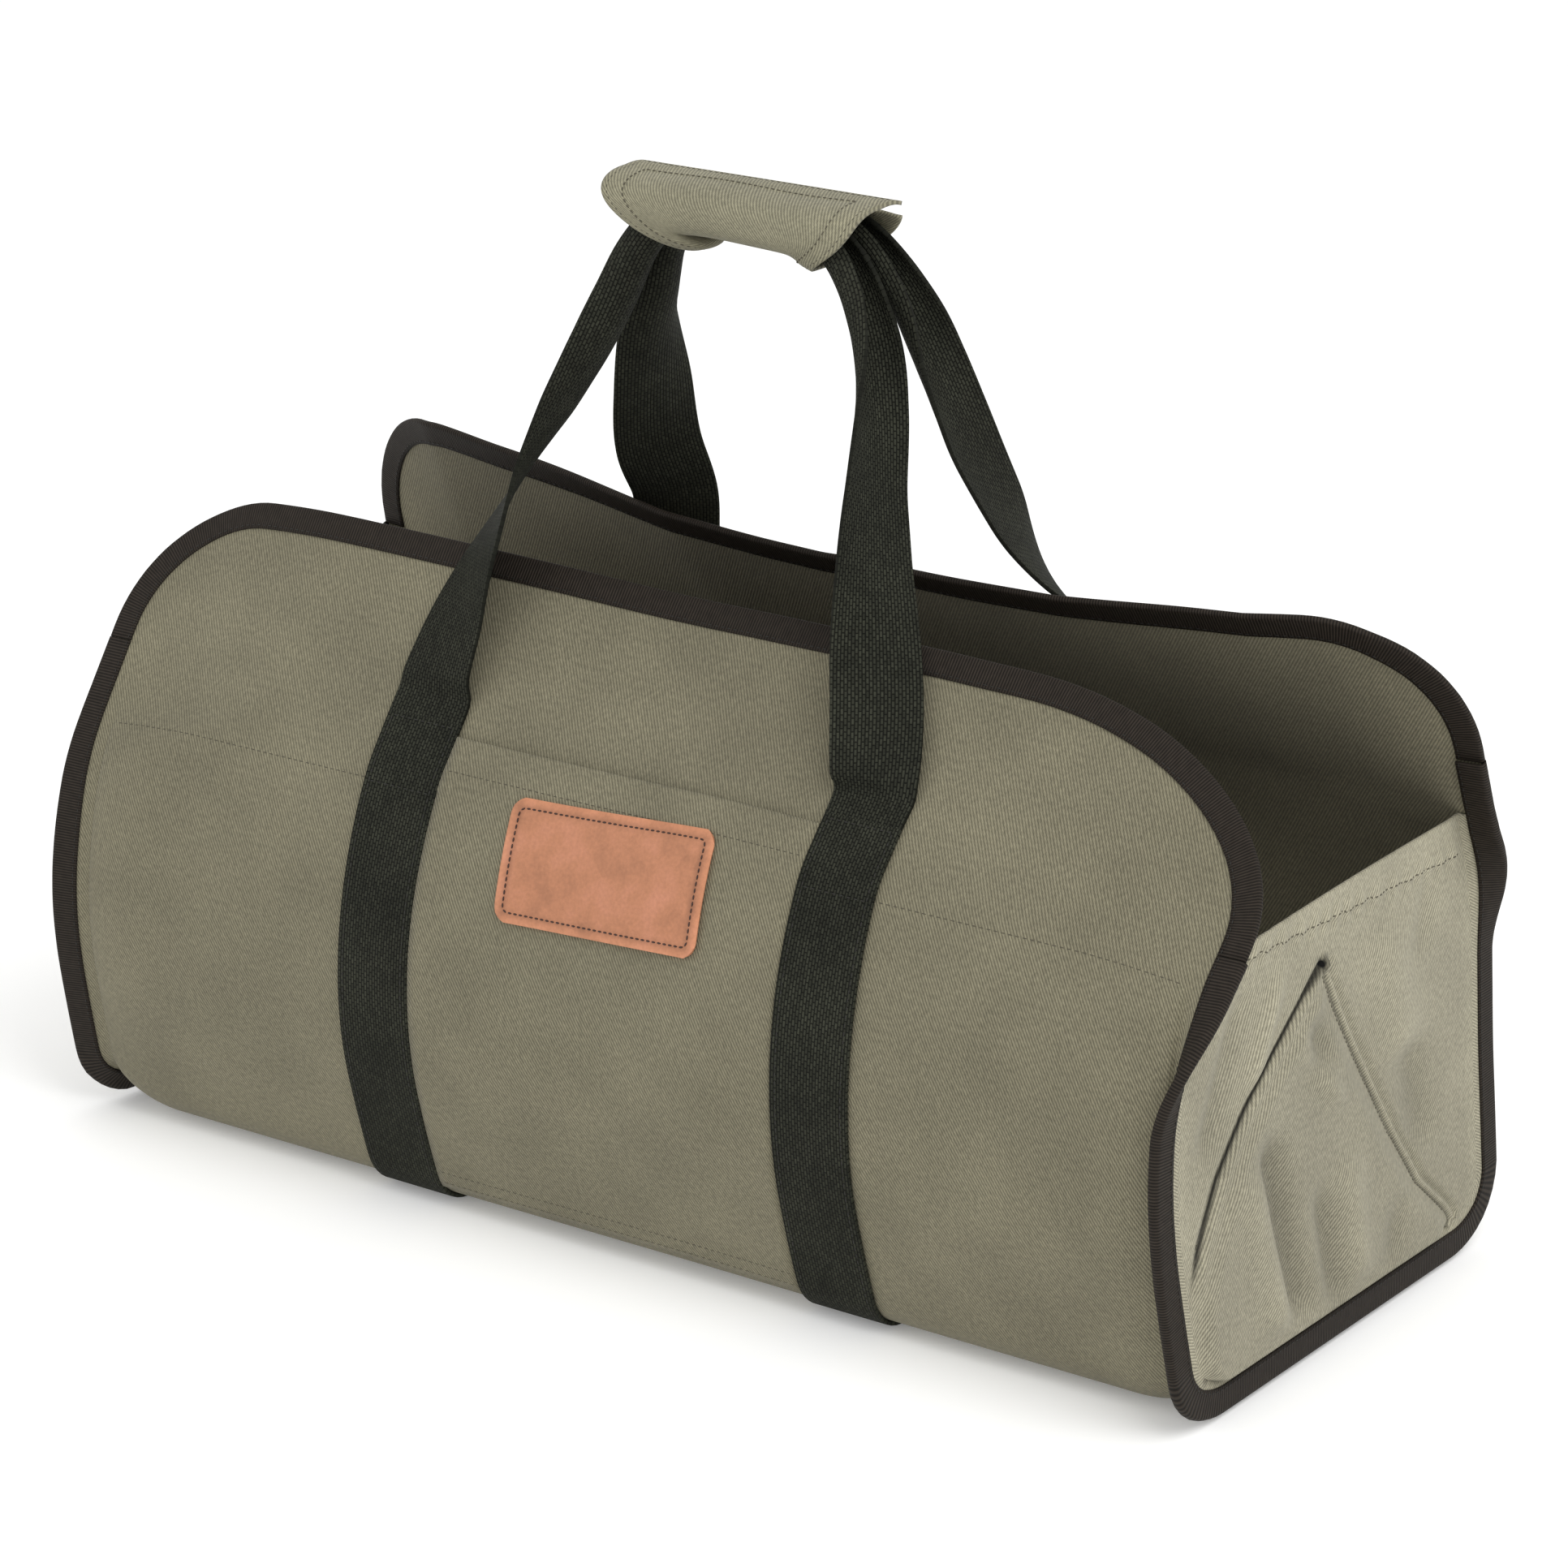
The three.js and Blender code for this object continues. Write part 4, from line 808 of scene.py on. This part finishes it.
def folded_tape(name, node_name, places, tips, low, high):
    """A tape folded over an edge: places and tips hold (along, sheet), low and high the
    heights of the two faces that it covers."""
    ease_off = 0.12
    legs = np.linspace(1, 0, 6)
    path = []
    length = np.concatenate([[0], np.cumsum(np.linalg.norm(np.diff(places, axis=0), axis=1))])
    edge = sheet_points(places[:, 0], places[:, 1])
    inside = sheet_points(*(places + (tips - places) * 0.15).T)
    out = unit(edge - inside)
    top, under = high + ease_off + TAPE / 2, low - ease_off - TAPE / 2
    for share in legs:
        spot = places + (tips - places) * share
        pinch = 0.25 * share * share
        path.append((surface(spot[:, 0], spot[:, 1], top - pinch), -share * TAPE_COVER))
    middle, radius = (top + under) / 2, (top - under) / 2
    for angle in np.linspace(90, -90, 9)[1:-1]:
        turn = math.radians(angle)
        point = surface(places[:, 0], places[:, 1], middle + radius * math.sin(turn))
        point = point + out * (0.35 + 0.75 * radius * math.cos(turn))
        path.append((point, radius * (1 - turn)))
    for share in legs[::-1]:
        spot = places + (tips - places) * share
        pinch = 0.25 * share * share
        path.append((surface(spot[:, 0], spot[:, 1], under + pinch), 5 + share * TAPE_COVER))
    points = np.stack([point for point, across in path])
    flat = np.stack([cut_flat(length, np.full(len(length), across)) for point, across in path])
    bm = bmesh.new()
    cloth_grid(bm, points, flat)
    piece = finish_piece(bm, name, node_name, material("tape"), TAPE)
    return piece


def end_tape_places(end):
    low = straight_end(end, -1) - TAPE_JOIN - GAP
    high = straight_end(end, 1) - TAPE_JOIN - GAP
    sheet = np.linspace(-low, high, 230)
    along = np.full(len(sheet), end * HALF_EDGE)
    places = np.stack([along, sheet], axis=1)
    tips = np.stack([along - end * TAPE_COVER, sheet], axis=1)
    return places, tips


def top_tape_places(side):
    """Places along a flap's edge and round its corners, evenly spaced, with the legs' tips."""
    angles = np.linspace(0, math.pi / 2, 24)
    half = []
    for end in (-1, 1):
        radius, reach = float(corner_radius(end, side)), float(corner_reach(end, side))
        middle = HALF_EDGE - reach
        base = float(straight_end(end, side))
        arc = [
            (
                end * (middle + reach * math.sin(a)), base + radius * math.cos(a),
                math.atan2(radius * math.sin(a), reach * math.cos(a)),
            )
            for a in angles
        ]
        foot = [(end * HALF_EDGE, base - TAPE_JOIN, math.pi / 2)]
        half.append(arc + foot)
    run = np.linspace(half[0][0][0], half[1][0][0], 110)[1:-1]
    rows = half[0][::-1] + [(x, STITCH + FLAP, 0.0) for x in run] + half[1]
    rows = np.array(rows)
    places = np.stack([rows[:, 0], side * rows[:, 1]], axis=1)
    inward = np.stack([-np.sign(rows[:, 0]) * np.sin(rows[:, 2]), -side * np.cos(rows[:, 2])], axis=1)
    return places, places + inward * TAPE_COVER


class CARRIER_OT_bindings(bpy.types.Operator):
    """Build the grosgrain tapes folded over the flaps and the end seams"""

    bl_idname = "log_carrier.bindings"
    bl_label = "Binding tapes"

    def execute(self, context):
        tapes = [("end", name, end_tape_places(end), -STACK) for name, end in (("right", 1), ("left", -1))]
        tapes += [("top", name, top_tape_places(side), 0.0) for name, side in (("front", -1), ("back", 1))]
        sewn = []
        for group, name, (places, tips), lowest in tapes:
            low, high = lowest - CLOTH / 2, CLOTH / 2
            folded_tape(f"{group}_tape_{name}", f"{group}_binding_{name}", places, tips, low, high)
            along, sheet = (places + (tips - places) * TAPE_STITCH).T
            for face, height, way in (("out", high, 1), ("in", low, -1)):
                lift = height + way * (0.5 + TAPE / 2)
                row = (surface(along, sheet, lift), way * sheet_normals(along, sheet), 3.4, 0.5)
                sewn.append((f"tape_stitches_{name}_{face}", row))
        for name, row in sewn:
            stitched_piece(name, [row], "dark_thread")
        return {"FINISHED"}


def sewn_stations():
    half = spaced((0, 8), (BASE_HALF - 12, 3.5), (BASE_HALF + BEND, 5), (SEWN_TOP, 0))
    return np.concatenate([-half[:0:-1], half])


def soften_edges(piece, width=0.45):
    bevel = piece.modifiers.new("Rounded edges", "BEVEL")
    bevel.width = width / 1000
    bevel.segments = 2
    bevel.limit_method = "ANGLE"
    bevel.angle_limit = math.radians(50)


class CARRIER_OT_webbing(bpy.types.Operator):
    """Build the webbing that is sewn down the walls and under the bottom"""

    bl_idname = "log_carrier.webbing"
    bl_label = "Sewn webbing"

    def execute(self, context):
        sheet = sewn_stations()
        for name, end in (("right", 1), ("left", -1)):
            across = end * WEB_CENTRE + np.linspace(-0.5, 0.5, 9) * WEB_WIDTH
            along, run = np.meshgrid(across, sheet)
            bm = bmesh.new()
            points = surface(along, run, WEB_LAYER)
            base = (np.abs(run) <= BASE_HALF)[..., None]
            level = points.copy()
            level[..., 2] = WEB / 2
            points = np.where(base, level, points)
            cloth_grid(bm, points, cut_flat(along, run))
            piece = finish_piece(
                bm, f"webbing_{name}_cloth", f"webbing_{name}", material("webbing"), WEB,
            )
            soften_edges(piece)
            rows = []
            lift = WEB_LAYER + WEB / 2
            half = np.linspace(BASE_HALF + BEND * 0.6, SEWN_TOP - 3, 120)
            for side in (-1, 1):
                for edge in (-1, 1):
                    at = end * WEB_CENTRE + edge * (WEB_WIDTH / 2 - 3)
                    rows.append(surface_row(at, side * half, lift, width=0.6))
                for below in (3, 34):
                    line = end * WEB_CENTRE + np.linspace(-0.5, 0.5, 12) * (WEB_WIDTH - 6)
                    rows.append(surface_row(line, side * (SEWN_TOP - below), lift, width=0.6))
            stitched_piece(f"webbing_stitches_{name}", rows, "dark_thread")
        return {"FINISHED"}


def catmull_rom(points, count):
    """Centripetal spline through points: places evenly spaced along it and their knot shares."""
    points = np.asarray(points)
    padded = np.concatenate([[2 * points[0] - points[1]], points, [2 * points[-1] - points[-2]]])
    fine = 24
    samples, shares = [], []
    spans = len(points) - 1
    for i in range(spans):
        p0, p1, p2, p3 = padded[i:i + 4]
        d0, d1, d2 = (max(1e-4, np.linalg.norm(b - a) ** 0.5) for a, b in ((p0, p1), (p1, p2), (p2, p3)))
        t1 = ((p1 - p0) / d0 - (p2 - p0) / (d0 + d1) + (p2 - p1) / d1) * d1
        t2 = ((p2 - p1) / d1 - (p3 - p1) / (d1 + d2) + (p3 - p2) / d2) * d1
        stop = fine + 1 if i == spans - 1 else fine
        for k in range(stop):
            t = k / fine
            samples.append(
                p1 + t1 * t + (3 * p2 - 3 * p1 - 2 * t1 - t2) * t**2 + (2 * p1 - 2 * p2 + t1 + t2) * t**3
            )
            shares.append(i + t)
    samples, shares = np.array(samples), np.array(shares)
    total = np.concatenate([[0], np.cumsum(np.linalg.norm(np.diff(samples, axis=0), axis=1))])
    even = np.linspace(0, total[-1], count)
    return along_path(even, total, samples), np.interp(even, total, shares), total[-1]


def handle_grid(route, side, count=190, across=12):
    """Middle points of a free handle and its length."""
    layer = WEB_LAYER
    ends = np.array([-WEB_CENTRE, WEB_CENTRE])
    root = surface(ends, side * np.full(2, SEWN_TOP), layer)
    below = surface(ends, side * np.full(2, SEWN_TOP - LEAD), layer)
    leave = unit(root - below)
    line = sheet_points(WEB_CENTRE, side * STITCH)
    knots = [root[0] - leave[0] * JOIN, root[0] + leave[0] * LEAD]
    for kind, x, b, c in (row[:4] for row in route):
        if kind == ON_FLAP:
            lift = WEB_LAYER + c * WEB_WIDTH
            knots.append(surface(np.array(x * WEB_CENTRE), np.array(side * (STITCH + b * FLAP)), lift))
        else:
            knots.append(np.array([x * WEB_CENTRE, b * abs(line[1]), mix(line[2], GRIP_HEIGHT, c)]))
    knots += [root[1] + leave[1] * LEAD, root[1] - leave[1] * JOIN]
    first, last = (0.0, -180.0) if side < 0 else (-180.0, 0.0)
    turns = [first, first, *[row[4] for row in route], last, last]
    curls = [0, 0, *[row[5] for row in route], 0, 0]
    places, shares, length = catmull_rom(knots, count)
    rows = np.arange(len(knots))
    smooth = np.ones(5) / 5
    turn = np.interp(shares, rows, turns)
    curl = np.interp(shares, rows, curls)
    for values in (turn, curl):
        values[2:-2] = np.convolve(values, smooth, "valid")
    turn, curl = np.radians(turn), np.maximum(0.02, np.radians(curl))
    tangent = unit(np.gradient(places, axis=0))
    width = np.stack([np.cos(turn), np.sin(turn), np.zeros(count)], axis=1)
    width = unit(width - tangent * (width * tangent).sum(axis=1, keepdims=True))
    face = np.cross(width, tangent)
    radius = (WEB_WIDTH / curl)[:, None]
    sag = radius * (1 - np.cos(curl / 2))[:, None] / 2
    angle = np.linspace(-0.5, 0.5, across)[None, :] * curl[:, None]
    over = (radius * np.sin(angle))[..., None]
    lift = (radius * (1 - np.cos(angle)) - sag)[..., None]
    points = places[:, None] + width[:, None] * over + face[:, None] * lift
    share = np.linspace(-0.5, 0.5, across)[None, :]
    run = np.linspace(0, length, count)
    for end, past in ((-1, run), (1, length - run)):
        near = np.flatnonzero(past < 24)
        climb = side * (SEWN_TOP - JOIN + past[near])[:, None]
        facing = np.sign(width[near[0]] @ np.array([1.0, 0, 0]))
        along = end * WEB_CENTRE + facing * share * WEB_WIDTH
        sewn = surface(np.repeat(along, len(near), 0), np.repeat(climb, across, 1), layer + 0.02)
        free = ease((past[near] - 2) / 20)[:, None, None]
        points[near] = sewn * (1 - free) + points[near] * free
    flat = cut_flat(share * WEB_WIDTH, run[:, None])
    return points, flat, length


class CARRIER_OT_handles(bpy.types.Operator):
    """Build the two free webbing handles that run up into the grip"""

    bl_idname = "log_carrier.handles"
    bl_label = "Handles"

    def execute(self, context):
        for name, route, side in (("front", FRONT_ROUTE, -1), ("back", BACK_ROUTE, 1)):
            points, flat, length = handle_grid(route, side)
            bm = bmesh.new()
            cloth_grid(bm, points, flat)
            piece = finish_piece(
                bm, f"handle_{name}_webbing", f"handle_{name}", material("webbing"), WEB,
            )
            soften_edges(piece)
            flat = (WEB_WIDTH / 1000, length / 1000)
        return {"FINISHED"}


def pocket_height(along, distance):
    middle = 1 - (along / (WEB_CENTRE - WEB_WIDTH / 2)) ** 2
    high = np.clip((distance - STITCH) / POCKET_ABOVE, 0, 1)
    hem = 0.35 * ease((distance - STITCH) / 1.5)
    return POCKET_LAYER + POCKET_EASE * middle * high + hem


class CARRIER_OT_pocket(bpy.types.Operator):
    """Build the front pocket with its hem and stitching"""

    bl_idname = "log_carrier.pocket"
    bl_label = "Front pocket"

    def execute(self, context):
        edge = WEB_CENTRE - WEB_WIDTH / 2 - GAP
        low = BASE_HALF + BEND * 0.75
        across = np.linspace(-edge, edge, 44)
        up = spaced((low, 3), (BASE_HALF + BEND, 4.5), (STITCH - 4, 1.5), (STITCH + POCKET_ABOVE, 0))
        along, distance = np.meshgrid(across, up)
        bm = bmesh.new()
        points = surface(along, -distance, pocket_height(along, distance))
        cloth_grid(bm, points, cut_flat(along, -distance))
        piece = finish_piece(bm, "pocket_canvas", "front_pocket", material("canvas"), CLOTH)
        line = np.linspace(-edge + 2, edge - 2, 60)
        rows = []
        for level in (STITCH + POCKET_ABOVE - POCKET_HEM, low + 3.5, low + 9.5):
            lift = pocket_height(line, level) + CLOTH / 2
            rows.append(surface_row(line, -level, lift, pitch=3.4, width=0.5))
        stitched_piece("pocket_stitches", rows, "canvas_thread")
        return {"FINISHED"}


def patch_places(over, up):
    along = over * math.cos(PATCH_TILT) - up * math.sin(PATCH_TILT)
    climb = over * math.sin(PATCH_TILT) + up * math.cos(PATCH_TILT)
    return along, -(STITCH - PATCH_BELOW + climb)


class CARRIER_OT_patch(bpy.types.Operator):
    """Build the bare leather patch with its stitched border"""

    bl_idname = "log_carrier.patch"
    bl_label = "Leather patch"

    def execute(self, context):
        half = PATCH_HEIGHT / 2
        round_up = half - PATCH_RADIUS + PATCH_RADIUS * np.sin(np.linspace(0, math.pi / 2, 7))
        straight = np.linspace(PATCH_RADIUS - half, half - PATCH_RADIUS, 21)[1:-1]
        ups = np.concatenate([-round_up[::-1], straight, round_up])
        shares = np.concatenate([[-1, -0.985], np.linspace(-0.965, 0.965, 41), [0.985, 1]])
        corner = np.maximum(0, np.abs(ups) - (half - PATCH_RADIUS))
        inset = PATCH_RADIUS - np.sqrt(np.maximum(0, PATCH_RADIUS**2 - corner**2))
        over = shares[None, :] * (PATCH_WIDTH / 2 - inset)[:, None]
        up = np.repeat(ups[:, None], len(shares), 1)
        rim = np.minimum(PATCH_WIDTH / 2 - np.abs(over), half - np.abs(up))
        pressed = -0.35 * np.exp(-((rim - PATCH_BORDER) / 1.0) ** 2) - 0.5 * ease((1.2 - rim) / 1.2)
        along, sheet = patch_places(over, up)
        under = POCKET_LAYER + CLOTH / 2 + GAP
        height = under + PATCH_THICK / 2 + 0.2 + pressed
        bm = bmesh.new()
        # painted shade in the pressed border groove, and a paler cut edge
        shade = 0.3 * np.exp(-((rim - PATCH_BORDER) / 0.8) ** 2) - 0.22 * ease((2.6 - rim) / 1.6)
        cloth_grid(bm, surface(along, sheet, height), np.stack([over, up], axis=-1), shade)
        piece = finish_piece(
            bm, "patch_leather", "leather_patch", material("leather"), PATCH_THICK,
        )
        soften_edges(piece, 0.5)
        side, rise, bend = PATCH_WIDTH / 2 - PATCH_BORDER, half - PATCH_BORDER, PATCH_RADIUS - 4.0
        outline = []
        for quarter, (cx, cy) in enumerate(((1, 1), (-1, 1), (-1, -1), (1, -1))):
            for a in np.linspace(0, math.pi / 2, 5) + quarter * math.pi / 2:
                x, y = cx * (side - bend) + bend * math.cos(a), cy * (rise - bend) + bend * math.sin(a)
                outline.append((x, y))
        outline = np.array([*outline, outline[0]])
        fine = np.linspace(0, len(outline) - 1, 400)
        path = np.stack([np.interp(fine, np.arange(len(outline)), outline[:, k]) for k in (0, 1)], axis=1)
        along, sheet = patch_places(path[:, 0], path[:, 1])
        row = surface_row(along, sheet, under + PATCH_THICK, pitch=2.9, width=0.95, share=0.8)
        stitched_piece("patch_stitches", [row], "brown_thread")
        return {"FINISHED"}


def grip_points(share, around, extra=0.0):
    sag = GRIP_DROOP * np.abs(share) ** 2.4
    angle = np.radians(around)
    lift = np.interp(around, GRIP_WRAP[:, 0], GRIP_WRAP[:, 1])
    cosine, sine = np.cos(angle), np.sin(angle)
    radius = lift / (np.abs(cosine) ** GRIP_ROUND + np.abs(sine) ** GRIP_ROUND) ** (1 / GRIP_ROUND)
    low = np.clip((1 - sine * radius) / 2, 0, 1) ** 2
    shear = np.where(share < 0, SHEAR_LEFT, SHEAR_RIGHT) * low * ease((np.abs(share) - 0.3) / 0.7)
    x = GRIP_CENTRE + share * GRIP_LENGTH / 2 - np.sign(share) * shear
    y = (GRIP_DEPTH / 2 + extra) * cosine * radius
    z = GRIP_HEIGHT - sag / 2 + ((GRIP_RISE + sag) / 2 + extra) * sine * radius
    return np.stack([x, y, z], axis=-1)


def grip_relief(share, around):
    """How far the wrap stands out in millimetres: its waves, its hems and their stitch lines."""
    edge = np.minimum((1 - np.abs(share)) * GRIP_LENGTH / 2, (around - GRIP_WRAP[0, 0]) * 0.3)
    wave = 0.5 * np.sin(share * 5.2 + around / 37) * ease(edge / 12)
    return wave + 0.4 * ease((13 - edge) / 1.2) - 0.35 * np.exp(-((edge - 3) / 0.8) ** 2)


class CARRIER_OT_grip(bpy.types.Operator):
    """Build the stitched canvas wrap that holds both handles together"""

    bl_idname = "log_carrier.grip"
    bl_label = "Grip wrap"

    def execute(self, context):
        shares = np.linspace(-1, 1, 72)
        turns = np.linspace(GRIP_WRAP[0, 0], GRIP_WRAP[-1, 0], 96)
        share, around = np.meshgrid(shares, turns)
        points = grip_points(share, around, grip_relief(share, around))
        bm = bmesh.new()
        cloth_grid(bm, points, np.stack([share * GRIP_LENGTH / 2, around * 0.3], axis=-1))
        bmesh.ops.recalc_face_normals(bm, faces=bm.faces[:])
        piece = finish_piece(
            bm, "grip_canvas_wrap", "grip_wrap", material("grip_canvas"), GRIP_CLOTH,
        )
        rows = []
        free = GRIP_WRAP[0, 0]

        def row(share, around):
            share, around = np.broadcast_arrays(np.asarray(share, float), np.asarray(around, float))
            relief = grip_relief(share, around)
            points = grip_points(share, around, relief + GRIP_CLOTH / 2 + 0.05)
            under = grip_points(share, around, relief - GRIP_CLOTH / 2)
            rows.append((points, unit(points - under), 3.0, 0.75))

        # an outer and an inner line: distance from the ends in millimetres, degrees past the
        # free edge, and where the line stops on its way round
        lines = ((1 - 3 / (GRIP_LENGTH / 2), free + 10, 300), (1 - 12 / (GRIP_LENGTH / 2), free + 40, 290))
        for reach, start, stop in lines:
            row(np.linspace(-reach, reach, 90), start)
        for way in (1, -1):
            for reach, start, stop in lines:
                row(way * reach, np.linspace(start, stop, 60))
        stitched_piece("grip_stitches", rows, "canvas_thread")
        return {"FINISHED"}


class CARRIER_OT_seams(bpy.types.Operator):
    """Stitch the hem lines of the walls and of the end panels"""

    bl_idname = "log_carrier.seams"
    bl_label = "Seam stitching"

    def execute(self, context):
        rows = []
        web = (WEB_CENTRE - WEB_WIDTH / 2, WEB_CENTRE + WEB_WIDTH / 2)
        reach = HALF_SEAM - 6
        outside = ((-reach, -web[1] - 1), (web[1] + 1, reach))
        runs = [(low, high, side) for low, high in outside for side in (-1, 1)]
        for low, high, side in (*runs, (-web[0] + 1, web[0] - 1, 1)):
            rows.append(surface_row(np.linspace(low, high, 90), side * STITCH, CLOTH / 2, width=0.5))
        stitched_piece("wall_stitches", rows, "canvas_thread")
        rows = []
        for end in (1, -1):
            points, height, place = end_patch(end)[:3]
            points[..., 0] += end * (end_relief(height, place)[0] + CLOTH / 2)
            out = np.array([[end, 0.0, 0.0]])
            columns = np.arange(3, height.shape[1] - 3)
            hem = np.abs(height - hem_height(place))[:, columns].argmin(axis=0)
            line = points[hem, columns]
            rows.append((line, np.repeat(out, len(line), 0), 3.3, 0.75))
            middle = height.shape[1] // 2
            up = np.flatnonzero((height[:, middle] > 0.03) & (height[:, middle] < RIDGE[-1, 0] - 0.02))
            back = end_lines(height[up, middle])[1] - 0.032
            ridge = points[up, np.abs(place[up] - back[:, None]).argmin(axis=1)]
            rows.append((ridge, np.repeat(out, len(ridge), 0), 2.8, 0.75))
        stitched_piece("end_stitches", rows, "canvas_thread")
        return {"FINISHED"}


# Stage

CAMERA_AZIMUTH = math.radians(35.5)
CAMERA_ELEVATION = math.radians(19.1)
CAMERA_DISTANCE = 2.5
CAMERA_TARGET = Vector((0.00141, 0.020256, 0.187))
CAMERA_LENS = 127.05


def area_light(name, place, target, size, power):
    data = bpy.data.lights.new(name, "AREA")
    data.shape = "SQUARE"
    data.size = size
    data.energy = power
    light = bpy.data.objects.new(name, data)
    light.location = Vector(place)
    light.rotation_mode = "QUATERNION"
    light.rotation_quaternion = (Vector(place) - Vector(target)).to_track_quat("Z", "Y")
    bpy.context.scene.collection.objects.link(light)


class CARRIER_OT_stage(bpy.types.Operator):
    """Add the pale floor, the soft studio lights and the camera"""

    bl_idname = "log_carrier.stage"
    bl_label = "Stage"

    def execute(self, context):
        scene = context.scene
        look = scene.log_carrier_look
        bm = bmesh.new()
        bmesh.ops.create_grid(bm, x_segments=1, y_segments=1, size=8.0)
        mesh = bpy.data.meshes.new("floor")
        bm.to_mesh(mesh)
        bm.free()
        floor = bpy.data.objects.new("floor", mesh)
        floor.data.materials.append(material("floor"))
        scene.collection.objects.link(floor)
        world = scene.world or bpy.data.worlds.new("studio")
        scene.world = world
        world.use_nodes = True
        sky = world.node_tree.nodes["Background"]
        sky.inputs["Color"].default_value = (1.0, 1.0, 1.0, 1.0)
        sky.inputs["Strength"].default_value = look.room_light
        scene.view_settings.view_transform = "Standard"
        area_light("key", (1.6, -0.6, 2.0), (0.1, 0, 0.15), 1.6, look.key_light)
        area_light("fill", (-1.8, -2.2, 1.6), (0, 0, 0.2), 2.2, look.key_light * 0.45)
        data = bpy.data.cameras.new("camera")
        data.lens = CAMERA_LENS
        data.sensor_width = 36.0
        data.clip_end = 50.0
        camera = bpy.data.objects.new("camera", data)
        back = Vector((
            math.sin(CAMERA_AZIMUTH) * math.cos(CAMERA_ELEVATION),
            -math.cos(CAMERA_AZIMUTH) * math.cos(CAMERA_ELEVATION),
            math.sin(CAMERA_ELEVATION),
        ))
        camera.location = CAMERA_TARGET + back * CAMERA_DISTANCE
        camera.rotation_mode = "QUATERNION"
        camera.rotation_quaternion = back.to_track_quat("Z", "Y")
        scene.collection.objects.link(camera)
        scene.camera = camera
        return {"FINISHED"}


# Panel and registration


def colour(name, description, code):
    return bpy.props.FloatVectorProperty(
        name=name, description=description, subtype="COLOR", default=linear(code))


class CARRIER_PG_look(bpy.types.PropertyGroup):
    """Colours and light that a user would change"""

    canvas: colour("Canvas", "Colour of the waxed canvas", "78735f")
    # painted light: the end panels are the walls' canvas made lighter, standing in for the light that falls
    # on them
    end_canvas: colour("End canvas", "Colour of the end panels", "9b9682")
    grip_canvas: colour("Grip canvas", "Colour of the grip wrap", "87836e")
    webbing: colour("Webbing", "Colour of the webbing", "25261f")
    tape: colour("Tape", "Colour of the binding tape", "29241f")
    leather: colour("Leather", "Colour of the patch", "b07757")
    canvas_thread: colour("Canvas thread", "Colour of the thread on canvas", "4b4637")
    dark_thread: colour("Dark thread", "Colour of the thread on tape and webbing", "17150f")
    brown_thread: colour("Patch thread", "Colour of the thread round the patch", "33190f")
    floor: colour("Floor", "Colour of the floor", "fbfbfa")
    room_light: bpy.props.FloatProperty(
        name="Room light", description="Strength of the even light from all sides", default=0.85, min=0)
    key_light: bpy.props.FloatProperty(
        name="Key light", description="Power of the main lamp", default=26.0, min=0, unit="POWER")


OPERATORS = (
    CARRIER_OT_stage, CARRIER_OT_panel, CARRIER_OT_ends, CARRIER_OT_webbing, CARRIER_OT_bindings,
    CARRIER_OT_handles, CARRIER_OT_pocket, CARRIER_OT_patch, CARRIER_OT_grip, CARRIER_OT_seams,
)


class CARRIER_PT_panel(bpy.types.Panel):
    """Lists the carrier's pieces in the sidebar"""

    bl_idname = "CARRIER_PT_panel"
    bl_label = "Log carrier"
    bl_space_type = "VIEW_3D"
    bl_region_type = "UI"
    bl_category = "Log carrier"

    def draw(self, context):
        look = context.scene.log_carrier_look
        for name in CARRIER_PG_look.__annotations__:
            self.layout.prop(look, name)
        for operator in OPERATORS:
            self.layout.operator(operator.bl_idname)


CLASSES = (CARRIER_PG_look, *OPERATORS, CARRIER_PT_panel)


def register():
    for cls in CLASSES:
        bpy.utils.register_class(cls)
    bpy.types.Scene.log_carrier_look = bpy.props.PointerProperty(type=CARRIER_PG_look)


def unregister():
    del bpy.types.Scene.log_carrier_look
    for cls in reversed(CLASSES):
        bpy.utils.unregister_class(cls)


def main():
    register()
    for operator in OPERATORS:
        group, name = operator.bl_idname.split(".")
        getattr(getattr(bpy.ops, group), name)()


if __name__ == "__main__":
    main()
